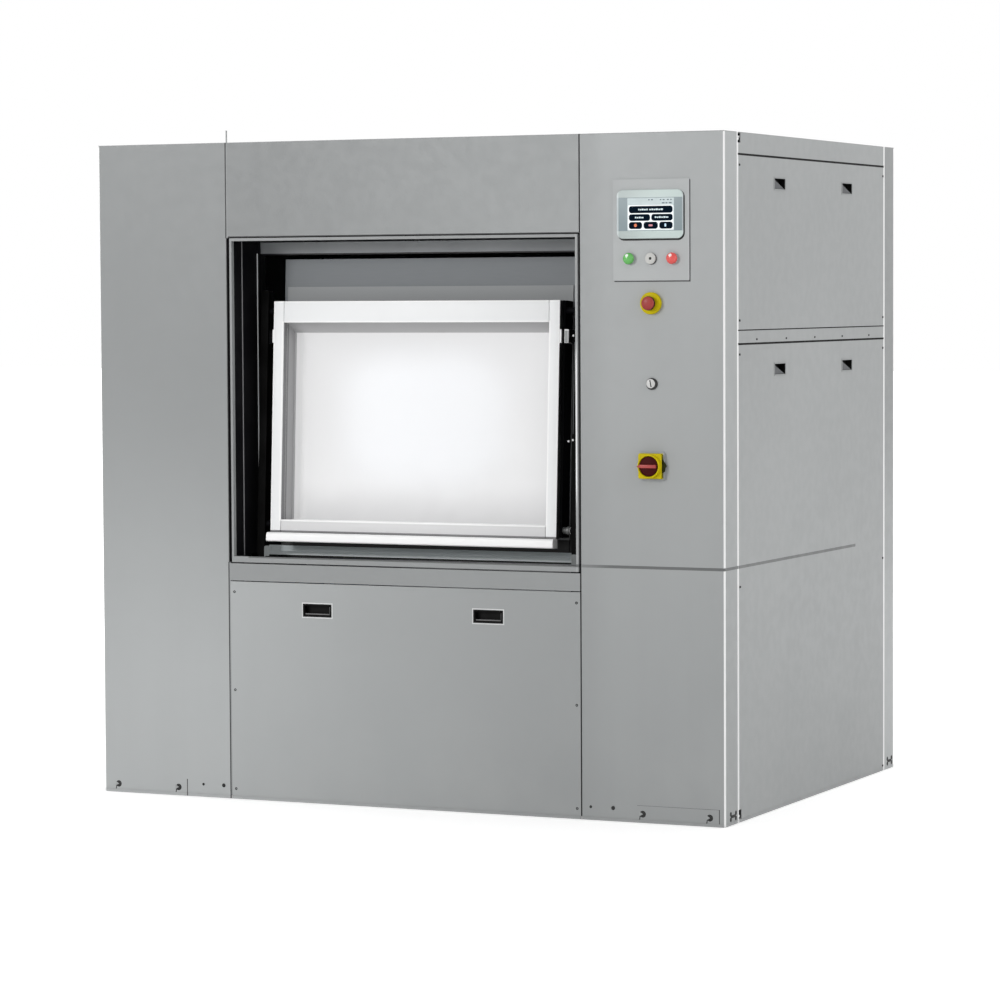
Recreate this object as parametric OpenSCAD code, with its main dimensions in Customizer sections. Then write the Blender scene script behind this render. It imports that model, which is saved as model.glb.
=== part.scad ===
// Barrier washer extractor: a floor-standing cabinet with a suspended tub and a drum on a
// level shaft, loaded through a sliding door at the front and emptied through one at the rear.
// X runs to the right of the loading side, Y to the rear, Z up. The origin is on the floor
// below the middle of the cabinet.

/* [Cabinet] */
// Width over the side panels
cab_w = 2150; // [2050:10:2400]
// Depth from the loading face to the unloading face
cab_d = 1555; // [1500:5:1800]
// Height over the top panel
cab_h = 2080; // [2040:5:2300]
// Width of the bay between the column covers
bay_w = 1214; // [1204:2:1260]
// Thickness of the cover sheets
sheet = 2; // [1.5:0.5:3]
// Gap between neighbouring covers
seam = 3; // [2:0.5:5]
// Gap between the covers and the floor
floor_gap = 10; // [6:1:14]
// Length of the front column cover's side return
front_return = 111; // [80:1:130]
// Length of the rear column cover's side return
rear_return = 103; // [80:1:130]
// Outer radius of the covers' vertical bends
bend_r = 5; // [4:0.5:8]
// Depth of the folds round the covers
fold = 20; // [12:1:22]
// Depth of the folds round the lower panels, which the ledges of the outer doors pass
low_fold = 8; // [5:1:9]

/* [Opening] */
// Clear width of the opening between the jambs
open_w = 1184; // [1160:2:1190]
// Height of the opening's lower edge above the floor
open_bottom = 774; // [760:1:790]
// Height of the opening's upper edge above the floor
open_top = 1770; // [1740:1:1800]
// Face width of the bezel at the sides and the top
bezel_w = 9; // [6:0.5:12]
// Face width of the bezel at the bottom
bezel_bottom = 19; // [12:1:24]
// Depth of the bezel frame
bezel_depth = 16; // [10:1:24]
// Height of the rail under the opening
mid_rail_h = 55; // [40:1:70]
// Height of the step between the bezel and the header panel
header_step = 3; // [2:0.5:6]
// Distance from the front face to the inner ring of the bay
ring_depth = 193; // [188:1:215]
// Side of the ring's square tube
ring_tube = 40; // [30:1:50]
// Thickness of the jamb linings
lining_t = 2; // [1:0.5:3]
// Height of the ring's head beam below the opening's upper edge
head_drop = 43; // [40:1:48]
// Height of the ring's sill beam below the opening's lower edge
sill_drop = 12; // [8:1:16]

/* [Side panels] */
// Height of the cover strip along the top of each side
side_top_h = 62; // [40:1:80]
// Lower edge of the rail between the upper and lower side panels
side_rail_z = 1448; // [1300:1:1600]
// Height of the rail between the side panels
side_rail_h = 37; // [25:1:50]

/* [Recessed grips] */
// Width of a recessed grip
grip_w = 101; // [80:1:120]
// Height of a recessed grip
grip_h = 41; // [30:1:50]
// Depth of a recessed grip's cup
grip_depth = 22; // [15:1:24]
// Height of the grips in the front and rear lower panels
grip_z = 610; // [450:1:640]
// Distance of the front and rear grips from the middle
grip_x = 296; // [200:1:400]
// Distance of the grips in the upper side panels below the cabinet's top
grip_drop = 147; // [120:1:300]
// Height of the grips in the lower side panels
grip_low_z = 1364; // [600:1:1390]
// Distance of the side grips from the middle
grip_y = 308; // [200:1:450]

/* [Frame] */
// Side of the square posts
post = 60; // [50:1:70]
// Wall of the frame's tubes
tube_wall = 4; // [3:0.5:6]
// Height of the base frame's tubes
base_h = 80; // [60:1:90]
// Thickness of the foot plates
foot_t = 12; // [8:1:14]
// Side of a foot plate
foot_s = 160; // [130:5:180]
// Radius of an anchor hole in a foot plate
anchor_r = 9; // [6:0.5:12]
// Distance of the corner feet inside the side covers
foot_inset_x = 115; // [95:1:180]
// Distance of the corner feet inside the front and rear faces
foot_inset_y = 137.5; // [120:0.5:170]
// Distance of the base frame behind the covers' faces
base_inset = 34; // [28:1:40]
// Length of the base frame's tubes beyond the corner feet
base_over = 85; // [70:1:95]
// Width of the base frame's cross tubes
cross_w = 80; // [60:1:90]
// Thickness of the brackets that hold the electrical door's pins
bracket_t = 5; // [4:0.5:8]
// Distance of the electrical door's pivot inside the skin
pivot_in = 5; // [4.5:0.5:6]
// Radius of the electrical door's pins
pivot_pin = 3; // [2.5:0.5:4]
// Thickness of the electrical door's pivot arms
arm_t = 6; // [4:0.5:8]
// Height of the notches in the side covers round the pivots
notch_h = 30; // [26:1:40]

/* [Drum] */
// Height of the drum's axis above the floor
axis_z = 1180; // [1160:1:1200]
// Outer radius of the drum shell
drum_r = 528; // [500:1:532]
// Length of the drum shell
drum_l = 1030; // [960:2:1050]
// Thickness of the drum shell
drum_t = 4; // [3:0.5:6]
// Thickness of the drum ends
drum_end_t = 10; // [6:1:14]
// Thickness of the partition between the two compartments
partition_t = 6; // [4:1:10]
// Width of a door opening in the drum
hatch_w = 860; // [780:2:880]
// Height of a door opening in the drum, measured straight
hatch_h = 560; // [480:2:570]
// Gap between a leaf door and the drum shell
leaf_gap = 2.5; // [2:0.5:4]
// Gap between a leaf's meeting edge and the middle of the door opening
leaf_meet = 5; // [4.5:0.5:8]
// Distance of a leaf's hinge axis inside the drum shell
leaf_inset = 12; // [11:1:18]
// Radius of a leaf's hinge tube
leaf_tube_r = 8; // [6:0.5:9]
// Radius of a leaf's hinge pin
leaf_pin_r = 4; // [3:0.5:5]
// Radius of the drum's perforations
perf_r = 7; // [5:0.5:9]
// Rows of perforations in each closed part of the shell
perf_rows = 5; // [3:1:6]
// Perforations in each row
perf_cols = 9; // [6:1:11]
// Radius of the drum shafts
shaft_r = 60; // [45:1:70]
// Running clearance of a shaft or pin in its bore
run_gap = 0.05; // [0.02:0.01:0.1]
// Pitch of the perforations in the partition and the leaves
perf_pitch = 110; // [90:1:115]

/* [Tub] */
// Outer radius of the tub shell
tub_r = 562; // [558:1:566]
// Thickness of the tub shell
tub_t = 6; // [4:1:8]
// Gap between the drum shell's ends and the tub's ends
tub_gap = 37; // [35:0.5:40]
// Thickness of the tub ends
tub_end_t = 8; // [6:1:10]
// Distance of the mouth's face from the drum axis
mouth_face = 594; // [592:1:596]
// Clear width of a mouth
mouth_w = 884; // [860:2:890]
// Clear height of a mouth along its face
mouth_h = 600; // [580:2:620]
// Width of the mouth's face plate
plate_w = 1020; // [1008:2:1030]
// Reach of the face plate above the drum axis
plate_up = 502; // [460:1:504]
// Reach of the face plate below the drum axis
plate_down = 430; // [400:1:440]
// Thickness of the mouth's face plate and walls
mouth_t = 6; // [4:1:8]
// Width of the mouth seal
seal_w = 34; // [24:1:40]
// Height of the flanges at the ends of the tub shell
flange_h = 16; // [12:1:22]
// Thickness of the flanges at the ends of the tub shell
flange_t = 12; // [8:1:16]
// Thickness of the raised collar round the mouth seal
collar_t = 4; // [2:0.5:5]

/* [Outer doors] */
// Lean of the outer doors from the vertical, top inwards
door_lean = 3.03; // [2:0.01:3.5]
// Width of an outer door
door_w = 996; // [960:2:1004]
// Height of an outer door along its lean
door_h = 729; // [700:1:740]
// Thickness of an outer door
door_t = 84; // [70:1:86]
// Gap between a door's back and the mouth's face
door_gap = 6; // [5:0.5:8]
// Face width of the door's stiles
stile_w = 33; // [25:1:45]
// Face height of the door's top rail
top_rail_h = 68; // [50:1:80]
// Face height of the door's bottom rail
bottom_rail_h = 37; // [30:1:50]
// Depth of the white front frame
door_frame_t = 28; // [20:1:36]
// Depth of the door's recess
recess = 76; // [50:1:77]
// Reach of the ledge in front of the door
ledge_reach = 27; // [15:1:28]
// Height of the ledge
ledge_h = 30; // [20:1:34]
// Travel of an outer door along its lean
door_travel = 680; // [640:1:690]
// Radius of the guide pins at a door's sides
pin_r = 9.5; // [8:0.5:12]
// Distance of the guide pins in front of the door's back
pin_depth = 45; // [30:1:50]
// Height of a guide shoe's middle above the door's middle
shoe_z = 252; // [200:1:280]
// Height of a guide shoe
shoe_h = 42; // [30:1:60]
// Distance of the lower guide pins below the door's middle
roller_z = 342; // [320:1:350]
// Running gap of the pins in their rails
slot = 0.6; // [0.4:0.1:1]
// Distance between a door's side and its rail
rail_gap = 36; // [30:1:40]
// Width of a rail
rail_w = 26; // [20:1:32]
// Wall of a rail
rail_wall = 6; // [4:0.5:8]

/* [Suspension] */
// Height of the cradle's underside above the floor
cradle_z = 270; // [240:1:290]
// Side of the cradle's square tube
cradle_tube = 80; // [60:1:90]
// Length of the cradle
cradle_l = 2000; // [1900:10:2040]
// Width of the cradle
cradle_w = 860; // [800:10:900]
// Radius of an air spring
spring_r = 100; // [80:1:120]
// Distance of the air springs from the middle, across the cabinet
spring_x = 850; // [800:1:880]
// Distance of the air springs from the middle, from front to rear
spring_y = 390; // [360:1:420]
// Thickness of the seats under the air springs
seat_t = 8; // [6:1:10]
// Distance of the tub's saddles from the middle
saddle_x = 430; // [380:1:480]
// Thickness of the tub's saddles
saddle_t = 12; // [8:1:16]
// Thickness of the bearing pedestals
pedestal_t = 40; // [30:1:50]
// Gap between the tub's ends and the bearing pedestals
pedestal_gap = 30; // [27:1:36]

/* [Drive] */
// Pitch radius of the drum pulley
pulley_r = 344; // [320:2:360]
// Pitch radius of the motor pulley
motor_pulley_r = 86; // [70:1:100]
// Face width of the pulleys
pulley_w = 60; // [40:1:70]
// Height of the motor's axis above the cradle
motor_rise = 140; // [132:1:160]
// Distance of the motor's axis behind the drum axis
motor_y = 150; // [80:1:200]
// Radius of the motor's housing
motor_r = 125; // [100:1:130]
// Thickness of the belts
belt_t = 9; // [6:1:12]
// Number of belts side by side
belts = 4; // [3:1:5]
// Radius of the brake disc
brake_r = 210; // [180:1:240]
// Distance between a bearing pedestal and the brake disc
brake_gap = 65; // [60:1:80]
// Thickness of the brake disc
brake_t = 12; // [8:1:16]
// Distance between a bearing pedestal and the middle of the drum pulley
pulley_gap = 105; // [100:1:120]
// Radius of the motor shaft
motor_shaft = 24; // [18:1:30]
// Gap between the belts and the pulleys
belt_gap = 0.6; // [0.4:0.1:1]

/* [Water and drain] */
// Distance of the first water inlet inside the left side
inlet_inset = 115; // [100:1:150]
// Distance of the water inlets behind the middle
inlet_y = 560; // [400:5:600]
// Distance between neighbouring inlets
inlet_pitch = 85; // [80:1:100]
// Outer radius of an inlet pipe
inlet_r = 25; // [18:1:30]
// Radius of an inlet pipe's bore
inlet_bore = 20; // [14:1:24]
// Height of an inlet pipe above the cabinet
inlet_rise = 42; // [30:1:60]
// Radius of the supply gland
gland_r = 20; // [16:1:28]
// Radius of the supply gland's bore
gland_bore = 12; // [8:1:14]
// Distance of the drain from the middle, to the right
drain_x = 300; // [250:5:320]
// Distance of the drain in front of the middle
drain_y = 150; // [120:5:180]
// Height of the drain pipe's axis above the floor
drain_z = 182; // [170:1:190]
// Side of the drain box
drain_s = 190; // [160:2:200]
// Height of the drain box's top above the floor
drain_top = 258; // [250:1:262]
// Outer radius of the drain pipe
drain_r = 55; // [45:1:58]
// Outer radius of the drain hose
hose_r = 50; // [40:1:55]
// Height of the drain valve's underside above the floor
valve_z = 440; // [420:1:480]

/* [Switchgear] */
// Distance of the mounting plate behind the front face
board_depth = 236; // [200:1:260]
// Height of the mounting plate's lower edge above the floor
board_low = 400; // [300:10:500]
// Distance of the mounting plate's upper edge below the cabinet's top
board_drop = 130; // [120:5:200]
// Height of the motor drive's lower edge above the floor
drive_z = 1300; // [1200:10:1400]
// Width of the motor drive
drive_w = 230; // [180:5:250]
// Height of the motor drive
drive_h = 400; // [300:10:420]
// Depth of the motor drive
drive_d = 150; // [100:5:160]
// Height of the row of contactors above the floor
row_z = 885; // [700:5:950]
// Number of contactors
contactors = 5; // [3:1:5]

/* [Controls] */
// Middle of the control column, from the middle of the cabinet
control_x = 842; // [800:1:880]
// Width of the control plate
plate_x = 246; // [220:1:280]
// Height of the control plate
plate_z = 303; // [280:1:330]
// Distance of the control plate's upper edge below the cabinet's top
plate_drop = 140; // [100:1:160]
// Thickness of the control plate
plate_t = 3; // [2:0.5:4]
// Width of the screen's bezel
screen_w = 214; // [180:1:220]
// Height of the screen's bezel
screen_h = 150; // [120:1:170]
// Corner radius of the screen's bezel
screen_r = 22; // [10:1:30]
// Width of the screen's display
screen_view_w = 151; // [130:1:160]
// Height of the screen's display
screen_view_h = 99; // [80:1:110]
// Distance of the screen's middle below the control plate's upper edge
screen_drop = 110; // [90:1:120]
// Height of the buttons' middle above the control plate's lower edge
button_rise = 66; // [50:1:80]
// Distance between neighbouring buttons
button_pitch = 70; // [55:1:80]
// Radius of the stem of a button or key switch
button_r = 12; // [9:0.5:14]
// Radius of a button's domed head
cap_r = 16.5; // [14.5:0.5:20]
// Height of the dome on a button's head
cap_dome = 8; // [4:0.5:10]
// Distance of the emergency stop below the control plate
stop_drop = 68; // [50:1:100]
// Distance of the lock below the emergency stop
lock_drop = 241; // [180:1:300]
// Distance of the isolator below the lock
isolator_drop = 247; // [200:1:300]
// Side of the isolator's yellow plate
isolator_s = 86; // [70:1:100]
// Radius of the lock's barrel
lock_r = 12; // [9:0.5:14]
// Width of the rear control plate
rear_plate_w = 130; // [110:2:160]
// Height of the rear control plate
rear_plate_h = 250; // [220:2:280]
// Distance of the rear control plate's upper edge below the cabinet's top
rear_plate_drop = 270; // [140:5:400]
// Radius of an emergency stop's yellow base
stop_base_r = 32; // [28:0.5:36]
// Radius of the emergency stop's mushroom head
mushroom_r = 21; // [18:0.5:24]

/* [Hidden] */
$fn = 64;

grey = [0.56, 0.57, 0.57];
dark = [0.13, 0.13, 0.14];
steel = [0.78, 0.79, 0.8];
white = [0.93, 0.93, 0.94];
black = [0.05, 0.05, 0.05];
blue = [0.16, 0.27, 0.45];
yellow = [0.93, 0.77, 0.1];
red = [0.75, 0.12, 0.12];

// The frame's tubes stop this far short of the ones they are welded to.
weld = 0.4;
hw = cab_w / 2;
hd = cab_d / 2;
foot_x = hw - foot_inset_x;
foot_y = hd - foot_inset_y;
bay = bay_w / 2;
open_x = open_w / 2;
inner_x = hw - sheet;
cover_top = cab_h - sheet;
header_z = open_top + bezel_w + header_step;
bezel_low = open_bottom - bezel_bottom;
mid_rail_z = bezel_low - mid_rail_h - header_step;
lower_top = mid_rail_z - seam;
base_z = foot_t;
base_top = base_z + base_h;
base_y = -hd + base_inset;
base_x = foot_x + base_over;
top_tube_z = cover_top - post;
// The posts stand behind the ends of the corner covers' returns.
post_y = front_return + seam + fold - 6;
bay_post_x = open_x + lining_t + 6;
bay_post_y = fold + weld;
// The corner posts and side tubes carry the folds of the side covers.
frame_out = hw - fold - weld;
frame_in = frame_out - post;
side_y0 = -hd + front_return + seam;
side_y1 = hd - rear_return - seam;
// Heights of the screws along the lower panels.
screw_z = [33, 349, 661];
side_low_top = side_rail_z - seam;
side_up_z = side_rail_z + side_rail_h + seam;
side_up_top = cover_top - side_top_h - seam;
grip_up_z = cab_h - grip_drop;

door_back = mouth_face + door_gap;
door_face = door_back + door_t;
half_door = door_h / 2;
rail_in = door_w / 2 + rail_gap;
rail_out = rail_in + rail_w;
pin_y = door_back + pin_depth;

drum_in = drum_r - drum_t;
hinge_z = hatch_h / 2 + 4;
hinge_rad = drum_in - leaf_inset;
hinge_y = sqrt(hinge_rad * hinge_rad - hinge_z * hinge_z);

leaf_half = hatch_w / 2 - 20;
tub_l = drum_l + 2 * tub_gap;

pedestal_x = tub_l / 2 + tub_end_t + pedestal_gap;
pedestal_out = pedestal_x + pedestal_t;
brake_x = pedestal_out + brake_gap;
pulley_x = pedestal_out + pulley_gap;
cradle_top = cradle_z + cradle_tube;
motor_z = cradle_top + motor_rise;
motor_front = -pulley_x - pulley_w / 2 - 14;

// The electrical door turns about two pins that sit behind its return, just inside the skin.
pivot_x = hw - pivot_in;
pivot_y = -hd + front_return + 2 * pivot_in;
arm_z = floor_gap + 8;
arm_top_z = cover_top - 22;
cross_x = [base_x - cross_w / 2 + 9, spring_x, bay_post_x + post / 2, drain_x];

board_y = -hd + board_depth;
plate_bottom = cab_h - plate_drop - plate_z;
screen_z = plate_bottom + plate_z - screen_drop;
button_z = plate_bottom + button_rise;
stop_z = plate_bottom - stop_drop;
lock_z = stop_z - lock_drop;
isolator_z = lock_z - isolator_drop;
rear_plate_z = cab_h - rear_plate_drop - rear_plate_h;
rear_stop_z = rear_plate_z + 55;
rear_open_z = rear_plate_z + 125;
rear_close_z = rear_plate_z + 185;
stop_bore = 12;

// Copies the children to the rear, turned half a turn about the vertical axis.
module both_faces() {
    children();
    rotate([0, 0, 180]) children();
}

// Copies the children to the other side of the middle plane across X.
module both_sides() {
    children();
    mirror([1, 0, 0]) children();
}

// Places the children in the frame of the outer door: -Y points out of the mouth.
module leaning() {
    translate([0, 0, axis_z]) rotate([-door_lean, 0, 0]) children();
}

// A box from one corner to the other.
module block(lo, hi) {
    translate(lo) cube(hi - lo);
}

// A square tube between two corners, open at both ends along the given axis (0, 1 or 2).
module tube(lo, hi, axis) {
    difference() {
        block(lo, hi);
        translate([for (i = [0:2]) lo[i] + (i == axis ? -1 : tube_wall)])
            cube([for (i = [0:2]) hi[i] - lo[i] + (i == axis ? 2 : -2 * tube_wall)]);
    }
}

// A level shaft or disc along X.
module disc_x(r, x0, x1) {
    translate([x0, 0, 0]) rotate([0, 90, 0]) cylinder(r = r, h = x1 - x0);
}

// A level pin along Y, from y0 to y1.
module disc_y(r, y0, y1) {
    translate([0, y0, 0]) rotate([-90, 0, 0]) cylinder(r = r, h = y1 - y0);
}

// A rectangle with rounded corners, standing on its lower edge.
module rounded(w, h, r) {
    translate([-w / 2 + r, 0]) square([w - 2 * r, h]);
    translate([-w / 2, r]) square([w, h - 2 * r]);
    for (x = [-w / 2 + r, w / 2 - r], y = [r, h - r]) translate([x, y]) circle(r);
}

// A rounded plate in the XZ plane whose front lies at y.
module plate_xz(w, h, r, y, t) {
    translate([0, y + t, 0]) rotate([90, 0, 0]) linear_extrude(t) rounded(w, h, r);
}

// A flat cover with its edges folded back, lying in the XZ plane with its face at y = 0.
module tray_xz(x0, x1, z0, z1, deep = fold) {
    block([x0, 0, z0], [x1, sheet, z1]);
    for (x = [x0, x1 - sheet]) block([x, 0, z0], [x + sheet, deep, z1]);
    for (z = [z0, z1 - sheet]) block([x0, 0, z], [x1, deep, z + sheet]);
}

// Plan of a column cover: a face from x = 0 to w, a round bend and a return of length ret.
module cover_plan(w, ret) {
    square([w - bend_r, sheet]);
    square([sheet, fold]);
    translate([w - sheet, bend_r]) square([sheet, ret - bend_r]);
    translate([w - fold, ret - sheet]) square([fold, sheet]);
    translate([w - bend_r, bend_r]) intersection() {
        difference() {
            circle(bend_r);
            circle(bend_r - sheet);
        }
        translate([0, -bend_r]) square(bend_r);
    }
}

module column_cover(ret) {
    x0 = bay + seam / 2;
    translate([x0, -hd, floor_gap]) linear_extrude(cover_top - floor_gap) cover_plan(hw - x0, ret);
}

module base_frame() {
    y0 = base_y;
    color(dark) {
        both_faces() tube([-base_x, y0, base_z], [base_x, y0 + base_h, base_top], 0);
        for (x = cross_x, s = [-1, 1]) translate([s * x, 0, 0])
            tube([-cross_w / 2, y0 + base_h + weld, base_z],
                [cross_w / 2, -y0 - base_h - weld, base_top], 1);
        // Seats under the air springs.
        for (x = [-1, 1], y = [-1, 1]) translate([x * spring_x, y * spring_y, base_top + weld])
            cylinder(r = spring_r - 10, h = seat_t);
        // Foot of the electrical door's lower pivot.
        translate([0, 0, arm_z - 1 - bracket_t]) pivot_bracket();
    }
}

// Plate with the bore for one of the electrical door's pivot pins.
module pivot_bracket() {
    x0 = base_x - 5;
    y1 = pivot_y + pivot_in + 1;
    difference() {
        union() {
            block([x0, pivot_y - 25, 0], [hw - fold - 3, y1, bracket_t]);
            block([x0, pivot_y - pivot_in - 1, 0], [hw, y1, bracket_t]);
        }
        translate([pivot_x, pivot_y, -1]) cylinder(r = pivot_pin + run_gap, h = bracket_t + 2);
    }
}

module foot_plates() {
    color(steel) for (x = [-foot_x, foot_x], y = [-foot_y, foot_y]) translate([x, y, 0])
        difference() {
            translate([-foot_s / 2, -foot_s / 2, 0]) cube([foot_s, foot_s, foot_t]);
            translate([0, 0, -1]) cylinder(r = anchor_r, h = foot_t + 2);
        }
}

module post_frame() {
    z0 = base_top + weld;
    corner_y = -hd + post_y;
    bay_y = -hd + bay_post_y;
    tab_h = 40;
    tab_gap = 0.3;
    color(dark) {
        both_faces() both_sides() {
            tube([frame_in, corner_y, z0], [frame_out, corner_y + post, cover_top], 2);
            tube([bay_post_x, bay_y, z0], [bay_post_x + post, bay_y + post, cover_top], 2);
            // Short tube over the column.
            tube([bay_post_x + post + weld, bay_y, top_tube_z], [frame_out, bay_y + post, cover_top], 0);
            // Tabs that hold the lower panel. The lowest ones reach back to the base frame.
            for (z = screw_z) block([bay_post_x, -hd + sheet + tab_gap, z - tab_h / 2],
                [bay - seam / 2 - sheet - tab_gap, z < base_top ? base_y - weld : bay_y + tube_wall,
                z + tab_h / 2]);
        }
        // Tubes over the bay and along the sides.
        both_faces() tube([-bay_post_x + weld, bay_y, top_tube_z],
            [bay_post_x - weld, bay_y + post, cover_top], 0);
        both_sides() {
            for (z = [[top_tube_z, cover_top],
                    [side_rail_z - post / 4, side_rail_z + side_rail_h + post / 4]])
                tube([frame_in, corner_y + post + weld, z[0]],
                    [frame_out, -corner_y - post - weld, z[1]], 1);
            tube([bay_post_x, bay_y + post + weld, top_tube_z],
                [bay_post_x + post, -bay_y - post - weld, cover_top], 1);
        }
        // Head bracket of the electrical door's upper pivot.
        translate([0, 0, arm_top_z + arm_t + 1]) difference() {
            union() {
                y0 = pivot_y - pivot_in - 1;
                block([frame_in, y0, 0], [hw, pivot_y + pivot_in + 1, bracket_t]);
                block([frame_in, y0, 0], [frame_out, corner_y + tube_wall, bracket_t]);
            }
            translate([pivot_x, pivot_y, -1]) cylinder(r = pivot_pin + run_gap, h = bracket_t + 2);
        }
    }
}

// Inner ring of the door bay: two uprights with a head beam and a sill beam between them.
module bay_rings() {
    y0 = -hd + ring_depth;
    x0 = open_x + lining_t + 2;
    head_z = open_top - head_drop;
    sill_z = open_bottom - sill_drop;
    color(dark) both_faces() {
        both_sides() tube([x0, y0, base_top + weld], [x0 + ring_tube, y0 + ring_tube, top_tube_z - weld], 2);
        tube([-x0 + weld, y0, head_z], [x0 - weld, y0 + ring_tube, head_z + ring_tube], 0);
        tube([-x0 + weld, y0, sill_z], [x0 - weld, y0 + ring_tube, sill_z + ring_tube], 0);
    }
}

// Plan of a jamb lining: a black sheet from the bezel to the ring with two raised ribs.
module lining_plan() {
    rib = 2.5;
    square([lining_t, ring_depth - bezel_depth - 1]);
    for (y = [48, 150]) translate([-rib, y]) square([rib + 0.1, 3]);
}

module jamb_linings() {
    y0 = -hd + bezel_depth + weld;
    color(black) both_faces() {
        both_sides() translate([open_x, y0, open_bottom]) linear_extrude(open_top - open_bottom - weld)
            lining_plan();
        block([-open_x - lining_t, y0, open_top],
            [open_x + lining_t, -hd + ring_depth - 1, open_top + lining_t]);
    }
}

module left_front_cover() {
    color(grey) mirror([1, 0, 0]) column_cover(front_return);
}

module left_rear_cover() {
    color(grey) difference() {
        rotate([0, 0, 180]) column_cover(rear_return);
        for (z = [rear_open_z, rear_close_z]) translate([-control_x, 0, z])
            disc_y(button_r + 3, hd - 10, hd + 10);
        translate([-control_x, 0, rear_stop_z]) disc_y(stop_bore, hd - 10, hd + 10);
    }
}

module right_rear_cover() {
    color(grey) mirror([1, 0, 0]) rotate([0, 0, 180]) column_cover(rear_return);
}

module header_panels() {
    x = bay - seam / 2;
    color(grey) both_faces() translate([0, -hd, 0]) tray_xz(-x, x, header_z, cover_top);
}

module mid_rails() {
    x = bay - seam / 2;
    color(grey) both_faces() translate([0, -hd, 0]) tray_xz(-x, x, mid_rail_z, mid_rail_z + mid_rail_h);
}

module lower_panels() {
    x = bay - seam / 2;
    color(grey) both_faces() translate([0, -hd, 0]) difference() {
        tray_xz(-x, x, floor_gap, lower_top, low_fold);
        for (s = [-1, 1]) translate([s * grip_x, 0, grip_z]) grip_hole();
    }
}

// Opening in a cover for a recessed grip's cup, centred on the origin.
module grip_hole() {
    rim = 2.6;
    block([-grip_w / 2 + rim, -5, -grip_h / 2 + rim], [grip_w / 2 - rim, 10, grip_h / 2 - rim]);
}

module recessed_grip() {
    lip = 1.2;
    rim = 3;
    wall = 1.4;
    cup_w = grip_w / 2 - rim;
    cup_h = grip_h / 2 - rim;
    difference() {
        union() {
            block([-grip_w / 2, -lip, -grip_h / 2], [grip_w / 2, -0.01, grip_h / 2]);
            block([-cup_w, -lip, -cup_h], [cup_w, grip_depth, cup_h]);
        }
        block([-cup_w + wall, -5, -cup_h + wall], [cup_w - wall, grip_depth - wall, cup_h - wall]);
    }
}

module recessed_grips() {
    color(black) {
        both_faces() for (s = [-1, 1]) translate([s * grip_x, -hd, grip_z]) recessed_grip();
        both_sides() for (y = [-grip_y, grip_y], z = [grip_up_z, grip_low_z])
            translate([hw, y, z]) rotate([0, 0, 90]) recessed_grip();
    }
}

module opening_bezels() {
    x1 = open_x + bezel_w - 1;
    top = open_top + bezel_w;
    color(grey) both_faces() translate([0, -hd, 0]) difference() {
        block([-x1, 0, bezel_low], [x1, bezel_depth, top]);
        block([-open_x, -1, open_bottom], [open_x, bezel_depth + 1, open_top]);
        // The bezel is a folded sheet, open behind.
        both_sides() block([open_x + sheet, sheet, bezel_low + sheet],
            [x1 - sheet, bezel_depth + 1, top - sheet]);
        block([-open_x, sheet, bezel_low + sheet], [open_x, bezel_depth + 1, open_bottom - sheet]);
    }
}

// A side cover in the plane of the right side: it runs along Y from y0 to y1.
module side_tray(y0, y1, z0, z1) {
    translate([hw, 0, 0]) rotate([0, 0, 90]) tray_xz(y0, y1, z0, z1);
}

module upper_side_panels() {
    color(grey) both_sides() difference() {
        side_tray(side_y0, side_y1, side_up_z, side_up_top);
        for (y = [-grip_y, grip_y]) translate([hw, y, grip_up_z]) rotate([0, 0, 90]) grip_hole();
    }
}

module lower_side_panels() {
    color(grey) both_sides() difference() {
        side_tray(side_y0, side_y1, floor_gap, side_low_top);
        for (y = [-grip_y, grip_y]) translate([hw, y, grip_low_z]) rotate([0, 0, 90]) grip_hole();
        // Corner notch round the lower pivot of the electrical door.
        block([hw - 2 * fold, side_y0 - 1, 0], [hw + 1, pivot_y + 14, floor_gap + notch_h]);
        // The drain and its mirror image, which is closed by a plug on the right, leave here.
        translate([0, -drain_y, drain_z]) disc_x(drain_r + 1, hw - 2 * fold, hw + 1);
    }
    color(grey) translate([0, -drain_y, drain_z]) disc_x(drain_r + 0.9, inner_x, hw);
}

module side_rails() {
    color(grey) both_sides() {
        side_tray(side_y0, side_y1, side_rail_z, side_rail_z + side_rail_h);
        difference() {
            side_tray(side_y0, side_y1, cover_top - side_top_h, cover_top);
            block([hw - 2 * fold, side_y0 - 1, cover_top - notch_h], [hw + 1, pivot_y + 14, cover_top + 1]);
        }
    }
}

module top_panel() {
    color(grey) difference() {
        block([-hw, -hd, cover_top], [hw, hd, cab_h]);
        translate([inlet_inset - hw, inlet_y, cover_top - 1]) {
            for (i = [0:2]) translate([i * inlet_pitch, 0, 0]) cylinder(r = inlet_r + 1, h = sheet + 2);
            translate([3 * inlet_pitch, 0, 0]) cylinder(r = gland_r, h = sheet + 2);
        }
    }
}

module air_springs() {
    z0 = base_top + seat_t + 2 * weld;
    h = cradle_z - z0 - weld;
    bulge = h / 4;
    color(black) for (x = [-1, 1], y = [-1, 1]) translate([x * spring_x, y * spring_y, z0])
        rotate_extrude() {
            square([spring_r - bulge, h]);
            for (z = [bulge, h - bulge]) translate([spring_r - bulge, z]) circle(bulge - 1);
        }
}

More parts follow.
